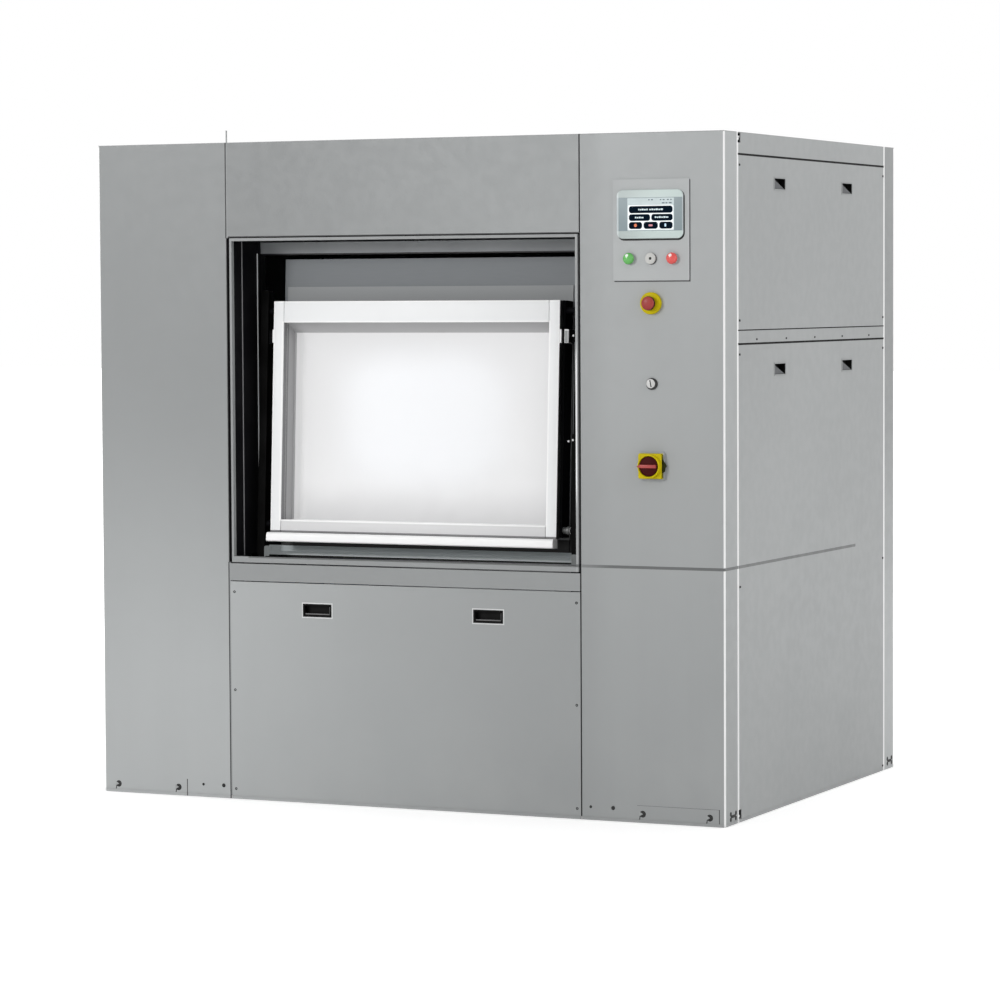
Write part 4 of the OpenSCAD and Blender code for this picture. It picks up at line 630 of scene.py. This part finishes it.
# Painted shade: the bottom rail is darker between the stiles.
between_stiles = (height < -0.3) * (along.far() < 0.4612)
rail_tone = between_stiles.blend((0.87, 0.88, 0.885), (0.68, 0.68, 0.685))
past_side, past_end = along.far() - inner, (height - pan_high).most(pan_low - height)
outer_edge = (along.far() - door_half).far().least((height - door_up).far())
inner_edge = past_side.far().most(past_end).least(past_end.far().most(past_side))
# Painted highlights along the outer and inner edges of the frame.
bright = outer_edge.least(inner_edge).spread(0.003, 0.006, 1, 0)
rail_tone = bright.blend(rail_tone, grey(1.0))
rail_tone = (height < -0.3682).blend(rail_tone, grey(0.97))
rail_tone = height.near(-0.365, 0.0034).blend(rail_tone, (0.22, 0.22, 0.225))
rail_tone = ((along.far() > 0.4965) * (depth > 0.0015) * (height > -0.3682)).blend(rail_tone, grey(0.006))
soft = (cloud * 0.1).blend(inside.blend(rail_tone, pan_tone), (0.86, 0.86, 0.87))
lifted = inside * floor_of_pan * (along > -0.4545) * along.spread(-0.4545, -0.418, 1, 0)
white.feed(Base_Color=soft, Roughness=white.rough(25, 3, 0.36, 0.46)).glow(lifted, grey(0.17))
door_white = white.grained(380, 0.0002, 0.2).material
ASIDE = Matrix.Translation((-aside, 0, 0))


def outer_door(prefix, body, move):
    skin = Blank()
    for x0, z0, x1, z1 in ((-door_half, -door_low, -inner, door_up), (inner, -door_low, door_half, door_up),
                           (0.0012 - inner, pan_high, inner - 0.0012, door_up),
                           (0.0012 - inner, -door_low, inner - 0.0012, pan_low)):
        skin.bar((x0, door_face, z0), (x1, frame_back, z1), 0.0022, 3)
    skin.done(prefix + "_frame", body, door_white, "door_white", (move @ ASIDE,), (prefix,))
    pan = Blank()

    def loop(inset, y, slope, wide=1.0, high=1.0):
        """The four corners of the pan at a depth, drawn in by inset, the upper two lowered by slope."""
        return [pan.mesh.verts.new(((x - inset * copysign(1, x)) * wide, y,
                                    (z - inset * copysign(1, z) - slope * (z > 0)) * high))
                for x, z in ((-inner, pan_low), (inner, pan_low), (inner, pan_high), (-inner, pan_high))]

    back, rim, fold, slope, wall = door_face + deep, frame_back + 0.0004, 0.004, 0.028, 0.003
    shells = [loop(0, rim, 0), loop(0, back - fold, slope), loop(fold, back - 0.0015, slope, 0.998),
              loop(fold, back, slope, 0.992, 0.992), loop(fold, back, slope, 0.5, 0.5)]
    behind = [loop(-wall, y, 0) for y in (rim, back + wall)]
    for first, second in zip(shells, shells[1:]):
        for k in range(4):
            pan.mesh.faces.new((first[k], first[(k + 1) % 4], second[(k + 1) % 4], second[k]))
    pan.mesh.faces.new(shells[-1])
    for k in range(4):
        after = (k + 1) % 4
        pan.mesh.faces.new((shells[0][k], behind[0][k], behind[0][after], shells[0][after]))
        pan.mesh.faces.new((behind[0][k], behind[1][k], behind[1][after], behind[0][after]))
    pan.mesh.faces.new(behind[1])
    pan.done(prefix + "_pan", body, door_white, "door_white", (move @ ASIDE,), (prefix,), sharp=50)
    ledge = Blank()
    nose, y0, z0, back, thick = 0.01, door_face - 0.027, -door_low - 0.0004, door_face + 0.008, 0.0285
    section = [(back, z0)] + [(y0 + nose - nose * sin(a), z0 - nose + nose * cos(a))
                              for a in [pi / 2 * k / 8 for k in range(9)]]
    section += [(y0, z0 - thick + 0.003), (y0 + 0.003, z0 - thick), (back, z0 - thick)]
    near = [ledge.mesh.verts.new((-door_half, y, z)) for y, z in section]
    far = [ledge.mesh.verts.new((door_half, y, z)) for y, z in section]
    for k in range(len(section)):
        after = (k + 1) % len(section)
        ledge.mesh.faces.new((near[k], near[after], far[after], far[k]))
    ledge.mesh.faces.new(near)
    ledge.mesh.faces.new(far)
    ledge.done(prefix + "_ledge", body, door_white, "door_white", (move @ ASIDE,), (prefix,))


LEANS = (LEAN, TURN @ LEAN)
doors = tuple(zip(("front_door", "rear_door"), ("front_outer_door", "rear_outer_door"), LEANS))
for door in doors:
    outer_door(*door)

# Door carriers: black back frames whose guide shoes and lower pins run in the black rails at
# both sides. The shoes are grey plastic blocks behind a white stop, the pins carry pale rollers.
carrier_black = plain("carrier_black", (0.003, 0.003, 0.004), 0.7, shine=0.06)
dress(carrier_black, "front_door_carrier", "rear_door_carrier")
rail = Finish("rail_black", Roughness=0.7, shine=0.04)
right_hand = rail.x * rail.y < 0
# Painted light: the rails' feet beside the sill are painted grey and glow, the left-hand rails more than
# the right.
foot = (rail.x.far() < 0.5345).most(rail.y.far() < 0.675).most(right_hand)
foot = foot * rail.z.near(0.7845, 0.0165)
patch = rail.clouds(9, 3, grey(0.002), grey(0.006))
lift = right_hand.blend((0.12, 0.13, 0.13), (0.02, 0.022, 0.022))
rail.feed(Base_Color=foot.blend(patch, (0.22, 0.23, 0.23)))
rail.glow(foot, lift)
dress(rail.material, "door_rails")
shoe = Finish("shoe_grey", Roughness=0.5)
patch = shoe.clouds(60, 2, (0.43, 0.44, 0.44), (0.47, 0.48, 0.48))
patch = shoe.x.far().near(0.5105, 0.0032).blend(patch, (0.27, 0.28, 0.28))
patch = ((shoe.z - 1.468).far() > 0.018).blend(patch, grey(0.74))
shoe = shoe.feed(Base_Color=(shoe.x.far() > 0.5192).blend(patch, grey(0.004))).material
roller = Finish("roller_pale", Roughness=0.4)
patch = roller.clouds(40, 2, (0.1, 0.105, 0.105), (0.13, 0.135, 0.135))
# The roller's nose is white; its glow is painted light.
white_nose_glowing = roller.x.far() > 0.5235
roller.feed(Base_Color=white_nose_glowing.blend(patch, grey(0.86)))
roller.glow(white_nose_glowing, grey(0.35))
roller = roller.material
pin_y = -0.645
for prefix, body, move in doors:
    stops, blocks, rollers = Blank(), Blank(), Blank()
    for side in (-1, 1):
        x0, x1 = (0.4915, 0.4975) if side > 0 else (-0.5062, -0.5015)
        stops.bar((x0, pin_y - 0.038, 0.233), (x1, pin_y - 0.031, 0.275), 0.0012)
    blocks.bar((0.504, pin_y - 0.031, 0.2335), (0.5195, pin_y + 0.013, 0.2755), 0.0012)
    nose = [(0, 0), (0.0108, 0), (0.0108, 0.003), (0.0098, 0.0035), (0.0098, 0.006), (0.0108, 0.0065),
            (0.0108, 0.0095), (0.0098, 0.01), (0.0098, 0.0125), (0.0128, 0.013), (0.0128, 0.0205),
            (0.0098, 0.0235), (0.0072, 0.0275), (0.0048, 0.03), (0.0022, 0.0312), (0, 0.0315)]
    rollers.turned(nose, (0.5, pin_y, -0.342), "X", 28)
    stops.done(prefix + "_shoe_stops", body, white_trim_and_highlight, "plastic_black", (move,))
    blocks.done(prefix + "_shoe_block", body, shoe, "plastic_black", (move,))
    rollers.done(prefix + "_roller", body, roller, "plastic_black", (move,))
pins, lines = Blank(), Blank()
for x, z in ((0.5284, 0.256), (0.5327, -0.064), (0.5182, -0.068)):
    pin = [(0, 0.0025), (0.0026, 0.0021), (0.0036, 0.0006), (0.0036, -0.001)]
    pins.turned(pin, (x, -0.661, z), "-Y", 16)
lines.bar((0.5318, -0.6614, -0.045), (0.5338, -0.66, 0.236))
pins.done("rail_screws", "suspended_unit", white_trim_and_highlight, "zinc", LEANS)
lines.done("rail_edges", "suspended_unit", cheek_grey, "frame_dark", LEANS)

# Control plate: a thin grey plate on the electrical door, with painted highlights along its right
# and left edges, on a dark sheet that shows as a painted shadow line along its right and lower
# edges. It carries the touch screen and three round operators.
panel_x, plate_face, screen_face, display_face = 0.842, -0.7805, -0.78685, -0.78705
shadow_line_dark = plain("shadow_line_dark", (0.045, 0.046, 0.048), 0.6)
plate = Finish("control_plate_coat", IOR=1.45, shine=0.35)
patch = plate.clouds(2.5, 3, *tones(cover_grey, 1.19, 1.26))
# Painted highlights along the right and left edges of the plate.
glint = (plate.x.far() > 0.962) * (plate.z > 1.62) + (plate.x.far() < 0.7205) * 0.35
plate.feed(Base_Color=glint.blend(patch, (0.45, 0.46, 0.47)),
                Roughness=plate.rough(30, 3, 0.4, 0.5))
dress(plate.grained(420, 0.0003, 0.25).material, "control_plate", "rear_control_plate")
# Dark sheets behind the front and rear plates: a painted shadow line round their edges.
shadow_sheet = Blank().bar((0.7215, -0.7788, 1.6335), (0.9674, -0.7772, 1.937), 0.0003)
shadow_sheet.done("control_shadow_line", cover, shadow_line_dark, "rubber_black")
shadow_sheet = Blank().plate(rounded(0.7785, 0.9095, 1.558, 1.8085, 0.005), -0.7788, 0.0016)
shadow_sheet.done("rear_control_shadow_line", "cabinet", shadow_line_dark, "rubber_black", (TURN,))

# Touch screen: a silvery moulded bezel whose curved bands above and below the display carry a
# painted reflection, lighter to the right, with painted shading beside the display and painted
# highlights at its ends; a dark sheet round its foot that shows as a painted shadow line along its
# right and lower edges; and a pale display with dark rounded fields, bars and small marks.
bezel = Finish("screen_bezel", shine=0.3)
# Painted reflection on the bands, painted shading beside the display and painted highlights at the ends.
bands = (bezel.z - 1.8355).far() > 0.05
sides = bezel.z.spread(1.75, 1.91).blend((0.235, 0.295, 0.315), (0.29, 0.345, 0.365))
sheen = bezel.x.spread(0.735, 0.87).blend((0.46, 0.52, 0.51), (0.57, 0.66, 0.64))
lip = ((bezel.x - panel_x).far() > 0.103) * 0.6
bezel.feed(Base_Color=lip.blend(bands.blend(sides, sheen), (0.72, 0.77, 0.78)),
           Roughness=bezel.rough(60, 2, 0.38, 0.46))
shell = Blank()
shell.plate(rounded(0.7328, 0.9468, 1.7625, 1.9085, 0.019, 8), screen_face, 0.0062, 0.0022)
shell.done("screen_shell", cover, bezel.grained(200, 0.0001, 0.2).material, "screen_grey",
           hides=("touch_screen",))
# A dark plate behind the screen, set off to the right and down: a painted shadow line.
seal = Blank().plate(rounded(0.734, 0.9508, 1.757, 1.907, 0.0215, 8), -0.7812, 0.001)
seal.done("screen_shadow_line", cover, hole_black, "rubber_black")


def lit(name, colour, glow, rough=0.45):
    """Display colours shine a little by themselves."""
    part = Finish(name, Emission_Strength=glow, Emission_Color=(*colour, 1), shine=0.03)
    part.feed(Base_Color=part.clouds(40, 2, *tones(colour, 0.93, 1.0)),
              Roughness=part.rough(60, 2, rough - 0.04, rough + 0.04))
    return part.material


display_x, display_z, wide, high = 0.768, 1.787, 0.151, 0.0965


def fields(name, look, layer, corner, places):
    """Rounded fields on the display, each place its left, top, right and bottom in fractions."""
    piece = Blank()
    for left, top, right, bottom in places:
        xa, xb = display_x + left * wide, display_x + right * wide
        za, zb = display_z + high * (1 - bottom), display_z + high * (1 - top)
        front = display_face - 0.00018 * layer
        piece.plate(rounded(xa, xb, za, zb, min(xb - xa, zb - za) * corner, 5), front, 0.0004)
    piece.done(name, cover, look, "screen_grey")


fields("display", lit("display_pale", (0.6, 0.68, 0.69), 0.1), 0, 0.02, [(0, 0, 1, 1)])
fields("display_sheet", lit("display_white", (0.93, 0.97, 0.98), 0.15), 0.5, 0.06, [
    (0.012, 0.215, 0.988, 0.985)])
fields("display_fields", lit("display_navy", (0.001, 0.006, 0.014), 0.02, 0.7), 1, 0.38, [
    (0.035, 0.248, 0.97, 0.465), (0.035, 0.5, 0.488, 0.705), (0.517, 0.5, 0.97, 0.705),
    (0.035, 0.74, 0.316, 0.955), (0.352, 0.74, 0.654, 0.955), (0.687, 0.74, 0.97, 0.955)])
bar_rows = (
    (0.36, (0.235, 0.262, 0.27, 0.3, 0.306, 0.35, 0.356, 0.4, 0.408, 0.44, 0.47, 0.51,
             0.518, 0.56, 0.567, 0.6, 0.606, 0.66, 0.667, 0.705, 0.712, 0.765)),
    (0.605, (0.165, 0.195, 0.203, 0.24, 0.248, 0.29, 0.298, 0.35)),
    (0.6, (0.59, 0.625, 0.632, 0.665, 0.672, 0.72, 0.728, 0.765, 0.773, 0.82, 0.828, 0.88)))
fields("display_bars", lit("display_bar_white", (0.7, 0.82, 0.86), 0.1), 2, 0.3, [
    (left, row - (0.032, 0.022)[k % 2], right, row + 0.022)
    for row, ends in bar_rows for k, (left, right) in enumerate(zip(ends[::2], ends[1::2]))])
fields("display_marks", lit("display_mark_grey", (0.16, 0.2, 0.23), 0.02), 1, 0.3, [
    (left, row, right, row + 0.035) for left, right, row in (
        (0.45, 0.48, 0.04), (0.51, 0.55, 0.04), (0.7, 0.73, 0.04), (0.76, 0.8, 0.04), (0.85, 0.89, 0.04),
        (0.92, 0.95, 0.04), (0.74, 0.8, 0.14), (0.82, 0.86, 0.14), (0.89, 0.95, 0.14))])
for label, colour, place in (("amber", (0.8, 0.24, 0.12), (0.145, 0.79, 0.205, 0.895)),
                             ("rose", (0.66, 0.28, 0.32), (0.455, 0.815, 0.545, 0.875)),
                             ("sky", (0.55, 0.74, 0.88), (0.795, 0.79, 0.835, 0.895))):
    fields("display_sign_" + label, lit("display_" + label, colour, 0.1), 2, 0.5, [place])

# Push buttons: glossy domed caps, green to start and red to stop, each above a collar, with
# painted highlights near their tops. The key switch between them is a pale disc with a dark
# keyhole, over a dark ring set off to the right and down as a painted shadow.
button_z = 1.703


def gloss(name, colour, rough=0.22, coat=0.35, highlight_points=None):
    """Coloured moulded plastic with a glossy skin, turned near white round each given (x, z) as a painted
    highlight.
    """
    part = Finish(name, Coat_Weight=coat, Coat_Roughness=0.14, shine=0.3 if coat else 0.1)
    base = part.clouds(50, 2, *tones(colour, 0.93, 1.05))
    # Painted highlights: the colour turns near white round each given point.
    for x, z in highlight_points or ():
        away = (part.x.far() - x) * (part.x.far() - x) + (part.z - z) * (part.z - z) * 1.4
        reach = 0.0062 ** 2
        base = away.spread(0.3 * reach, reach, 0.9, 0.0).blend(base, (0.98, 1.0, 0.98))
    part.feed(Base_Color=base, Roughness=part.rough(80, 2, rough - 0.04, rough + 0.04))
    return part.grained(500, 0.0001, 0.15).material


green_cap = gloss("button_green", (0.12, 0.46, 0.1), highlight_points=(
    (panel_x - 0.072, button_z + 0.0095), (panel_x - 0.002, 1.6945)))
red_cap = gloss("button_red", (0.74, 0.085, 0.075), highlight_points=(
    (panel_x + 0.068, button_z + 0.0095), (panel_x - 0.002, 1.7545)))
cap = [(0.0118, -0.0265), (0.0118, 0.006), (0.0168, 0.0062), (0.0174, 0.007), (0.0175, 0.0092),
       (0.0168, 0.0116), (0.015, 0.0146), (0.012, 0.017), (0.0082, 0.0185), (0.0042, 0.0192), (0, 0.0193)]
for name, x, z, material, slot, move in (
        ("start_button", panel_x - 0.07, button_z, green_cap, "button_green", STAY),
        ("stop_button", panel_x + 0.07, button_z, red_cap, "button_red", STAY),
        ("rear_open_button", panel_x, 1.685, green_cap, "button_green", TURN),
        ("rear_close_button", panel_x, 1.745, red_cap, "button_red", TURN)):
    dome = Blank().turned(cap, (x, plate_face, z))
    dome.done(name + "_cap", name, material, slot, (move,), (name,), sharp=60)
key_centre = (panel_x, plate_face, button_z)
disc_zinc = plain("key_disc", (0.5, 0.5, 0.48), 0.4)
dress(disc_zinc, "key_switch")
rim = [(0.0165, 0.0036), (0.0167, 0.0042), (0.0167, 0.0068), (0.0158, 0.0079), (0.012, 0.0081),
       (0.0045, 0.0081), (0.0045, 0.0074), (0, 0.0074)]
disc = Blank().turned(rim, key_centre)
disc.done("key_face", "key_switch", disc_zinc, "zinc", sharp=30)
hole = Blank().turned([(0.0044, 0.0076), (0.0036, 0.0083), (0, 0.0083)], key_centre)
hole.done("key_hole", "key_switch", hole_black, "plastic_black")
# A dark ring behind the key disc, set off to the right and down: a painted shadow.
seal = Blank().turned([(0, 0.001), (0.0172, 0.001), (0.0176, 0.0003), (0.0176, -0.0006)],
                      (panel_x + 0.0006, plate_face, button_z - 0.001), steps=32)
seal.done("key_shadow_ring", cover, shadow_line_dark, "rubber_black")

# Emergency stops: a thick yellow ring with a red mushroom head that is pushed in, one on the
# electrical door and one on the rear control plate.
yellow_plastic = gloss("stop_yellow", (0.57, 0.46, 0.002), 0.45, 0.0)
mushroom = Finish("mushroom_red", shine=0.2, Coat_Weight=0.08, Coat_Roughness=0.2)
# Painted shade: the head's skirt under its rim is painted near black.
rim_shade = mushroom.y.far() < half_d + 0.0316
patch = mushroom.clouds(50, 2, (0.31, 0.04, 0.034), (0.35, 0.052, 0.045))
mushroom.feed(Base_Color=rim_shade.blend(patch, (0.045, 0.004, 0.003)),
              Roughness=mushroom.rough(80, 2, 0.36, 0.46))
mushroom_red = mushroom.grained(500, 0.0001, 0.15).material
ring = [(0.032, -0.0002), (0.0332, 0.0006), (0.0332, 0.0105), (0.0318, 0.0132), (0.0285, 0.0142),
        (0.013, 0.0144)]
for body, z, face_y, owner, move in (("emergency_stop", 1.569, -half_d, cover, STAY),
                                     ("rear_stop", 1.615, plate_face, "cabinet", TURN)):
    base = Blank().turned(ring, (panel_x, face_y, z))
    base.done(body + "_base", owner, yellow_plastic, "yellow", (move,), sharp=50)
    lift = -half_d - face_y
    outline = [(0.0085, -0.011), (0.0085, 0.019 + lift), (0.015, 0.0205 + lift), (0.0196, 0.0212 + lift),
               (0.0211, 0.0225 + lift), (0.0215, 0.0265), (0.0211, 0.0298), (0.0196, 0.033),
               (0.0165, 0.0352), (0.012, 0.0367), (0.0065, 0.0376), (0, 0.0379)]
    head = Blank().turned(outline, (panel_x, -half_d, z))
    head.done(body + "_head", body, mushroom_red, "button_red", (move,), (body,), sharp=50)

# Main isolator: a yellow square plate with a raised ring round a dark red disc, whose bar handle
# turns a quarter, and a small tab for a padlock on its right.
isolator_z, side = 1.081, 0.0375
isolator = (panel_x, -half_d, isolator_z)


def square(half):
    return rounded(panel_x - half, panel_x + half, isolator_z - half, isolator_z + half, 0.005)


front = Blank().plate(square(side), -half_d - 0.0195, 0.005, 0.0012)
collar = [(0.0364, 0.019), (0.036, 0.0292), (0.0348, 0.0306), (0.0326, 0.0308), (0.0314, 0.0298),
          (0.031, 0.019)]
front.turned(collar, isolator, steps=56)
front.done("isolator_plate", cover, yellow_plastic, "yellow")
# Painted shade: the dark olive box behind the yellow face stands for the shaded sides of the housing; the
# padlock tab shares its colour.
shade_olive = plain("isolator_side_shade", (0.02, 0.024, 0.002), 0.6, shine=0.15)
back = Blank().plate(square(side - 0.0006), -half_d - 0.0146, 0.015)
tab = [(0, -0.021), (0.008, -0.016), (0.009, -0.006), (0.0135, 0.0005), (0.008, 0.011), (0.003, 0.021),
       (0, 0.021)]
back.plate([(panel_x + side - 0.002 + u, isolator_z + w) for u, w in tab], -half_d - 0.011, 0.008, 0.0006)
back.done("isolator_back", cover, shade_olive, "plastic_black")
knob_red = gloss("isolator_red", (0.05, 0.004, 0.004), 0.6, 0.0)
bar_red = gloss("isolator_bar_red", (0.4, 0.055, 0.05), 0.4, 0.1)
disc = [(0.006, -0.02), (0.006, 0.02), (0.029, 0.0203), (0.0298, 0.0211), (0.0298, 0.027),
        (0.0288, 0.028), (0, 0.0282)]
knob = Blank().turned(disc, isolator, steps=56)
knob.done("isolator_disc", "isolator_handle", knob_red, "button_red", hides=("isolator_handle",), sharp=50)
grip = Blank().bar((panel_x - 0.0285, -half_d - 0.0372, isolator_z - 0.0052),
                   (panel_x + 0.0255, -half_d - 0.0278, isolator_z + 0.0052), 0.002, 3)
grip.plate([(panel_x - 0.0275, isolator_z - 0.0046), (panel_x - 0.0275, isolator_z + 0.0046),
            (panel_x - 0.0365, isolator_z)][::-1], -half_d - 0.036, 0.004, 0.0008)
grip.done("isolator_bar", "isolator_handle", bar_red, "button_red")

# Door lock: a plated quarter-turn barrel in a dark collar, with a slot for a driver. The collar is
# set off to the right and down, so that it also shows as a painted shadow crescent.
lock_z = 1.328
collar_ring = Blank().turned([(0.012, 0.0046), (0.0172, 0.0046), (0.018, 0.0036), (0.018, -0.0006)],
                             (panel_x + 0.0008, -half_d, lock_z - 0.0004), steps=36)
collar_ring.done("lock_collar", cover, hole_black, "zinc")
lock_plate = plain("lock_zinc", (0.62, 0.62, 0.61), 0.3)
dress(lock_plate, "door_lock")
barrel = Blank().turned([(0.0134, 0.004), (0.0138, 0.0052), (0.0128, 0.0058), (0, 0.006)],
                        (panel_x - 0.0022, -half_d, lock_z + 0.0006), steps=36)
barrel.done("lock_face", "door_lock", lock_plate, "zinc")
slot_x, slot_z, lean = panel_x - 0.0022, lock_z + 0.0006, radians(12)
slot_line = [(slot_x + u * cos(lean) - w * sin(lean), slot_z + u * sin(lean) + w * cos(lean))
             for u, w in ((-0.0017, -0.0105), (0.0017, -0.0105), (0.0017, 0.0105), (-0.0017, 0.0105))]
slot = Blank().plate(slot_line, -half_d - 0.0063, 0.0012)
slot.done("lock_slot", "door_lock", hole_black, "plastic_black")

# The electrical door carries the same coat as the columns. Its fixed fittings, which belong to
# the same solid, are yellow and plated where they stand out of its face.
# Painted shading: the tone runs from low to high up the door.
door_coat = powder_coat("coat_electrical_door", 0.91, 1.14, ("z", 0.2, 2.1), bends=True)
cloud = Shade(door_coat.tree, door_coat.shader.inputs["Base Color"].links[0].from_socket)
proud = door_coat.y < -0.7776
margin = (door_coat.x - panel_x).far().most((door_coat.z - isolator_z).far()) > 0.0385
fitting = proud * (1.0 - margin * door_coat.z.near(isolator_z, 0.06))
# Painted shade: the door is darker towards its left edge.
cloud = door_coat.x.spread(0.612, 0.72, 0.45, 0.0).blend(cloud, tones(cover_grey, 0.82, 1)[0])
cloud = fitting.blend(cloud, (0.52, 0.44, 0.006))
metal = proud * door_coat.z.near(lock_z, 0.03)
cloud = metal.blend(cloud, grey(0.03))
dress(door_coat.feed(Base_Color=cloud).material, "electrical_door")
skirt = Blank().bar((0.6086, -half_d, skirt_low), (half_w, -half_d + sheet, skirt_high))
skirt.bar((half_w - sheet, -half_d, skirt_low), (half_w, front_seam - 0.0016, skirt_high))
skirt.done("electrical_door_skirt", cover, door_coat.material, "cover_grey")

# Base frame, posts and foot plates: welded square tube painted dark grey, on plated steel feet.
paint = Finish("frame_paint", Roughness=0.5)
cloud = paint.noise(3, 4).spread(0.35, 0.65).blend((0.04, 0.042, 0.045), (0.062, 0.064, 0.068))
scuff = paint.noise(60, 4).spread(0.62, 0.75) * paint.z.spread(0.0, 0.6, 1.0, 0.2)
# Painted light: the frame behind the hinge notch is painted pale, so the notch does not show as a dark
# hole.
behind_notch = (paint.x > 1.03) * (paint.z > 2.03) * paint.y.near(-0.655, 0.03)
paint.feed(Base_Color=behind_notch.blend(scuff.blend(cloud, (0.16, 0.16, 0.155)), (0.62, 0.63, 0.63)),
                 Roughness=paint.rough(12, 3, 0.42, 0.6))
dress(paint.grained(180, 0.0004, 0.3, 3).material, "base_frame", "post_frame")


def plated(name, colour, rough=0.32, grain=(1, 1, 1), scale=40):
    """Bare or plated metal with a fine uneven grain."""
    part = Finish(name, Metallic=1.0)
    streak = part.noise(scale, 4, grain).spread(0.3, 0.7)
    part.feed(Base_Color=streak.blend(*tones(colour, 0.86, 1.05)),
              Roughness=part.noise(scale / 3, 3, grain).spread(0.3, 0.7, rough - 0.07, rough + 0.08))
    return part.bump(streak, 0.00008, 0.4).material


dress(plated("zinc_plate", (0.6, 0.61, 0.6), 0.4), "foot_plates", "mounting_plate")

# Washing unit: a brushed stainless tub in a blue painted steel cradle, standing on rubber air
# springs between the base frame and the cradle.
tub_steel = plated("tub_stainless", (0.6, 0.61, 0.62), 0.34, (1, 12, 12), 10)
dress(tub_steel, "tub_shell", "tub_ends", "drain_box", "drain_valve", "service_inlets")
blue = Finish("machine_blue", Coat_Weight=0.2, Coat_Roughness=0.3)
cloud = blue.noise(4, 4).spread(0.35, 0.65).blend((0.045, 0.085, 0.17), (0.065, 0.115, 0.215))
blue.feed(Base_Color=cloud, Roughness=blue.rough(15, 3, 0.36, 0.5))
dress(blue.grained(70, 0.0006, 0.35, 4).material, "cradle", "bearing_pedestals", "motor")
dress(plain("spring_rubber", grey(0.016), 0.65, 0.0005, 120), "air_springs", "drive_belts")

# Drum: perforated polished stainless steel with turned end plates and four curved leaf doors.
drum_steel = plated("drum_stainless", (0.64, 0.65, 0.66), 0.26, (1, 9, 9), 14)
dress(drum_steel, "drum_shell", "drum_ends", "drum_partition", "front_upper_leaf", "front_lower_leaf",
      "rear_upper_leaf", "rear_lower_leaf")
iron = plated("machined_iron", (0.2, 0.205, 0.21), 0.42, (1, 20, 20), 8)
dress(iron, "drum_pulley", "motor_pulley", "brake_disc")
dress(gloss("brake_red", (0.45, 0.03, 0.03), 0.35), "brake_calliper")

# Switchgear on the zinc mounting plate: grey moulded housings with dark terminal rows.
gear = Finish("switchgear_grey")
rows = (gear.z * 9.0).maths("FRACT", gear.z * 9.0) < 0.14
cloud = gear.clouds(8, 3, (0.27, 0.28, 0.285), (0.34, 0.35, 0.355))
gear.feed(Base_Color=rows.blend(cloud, (0.045, 0.045, 0.048)), Roughness=gear.rough(40, 2, 0.4, 0.55))
dress(gear.grained(300, 0.0002, 0.2).material, "switchgear")
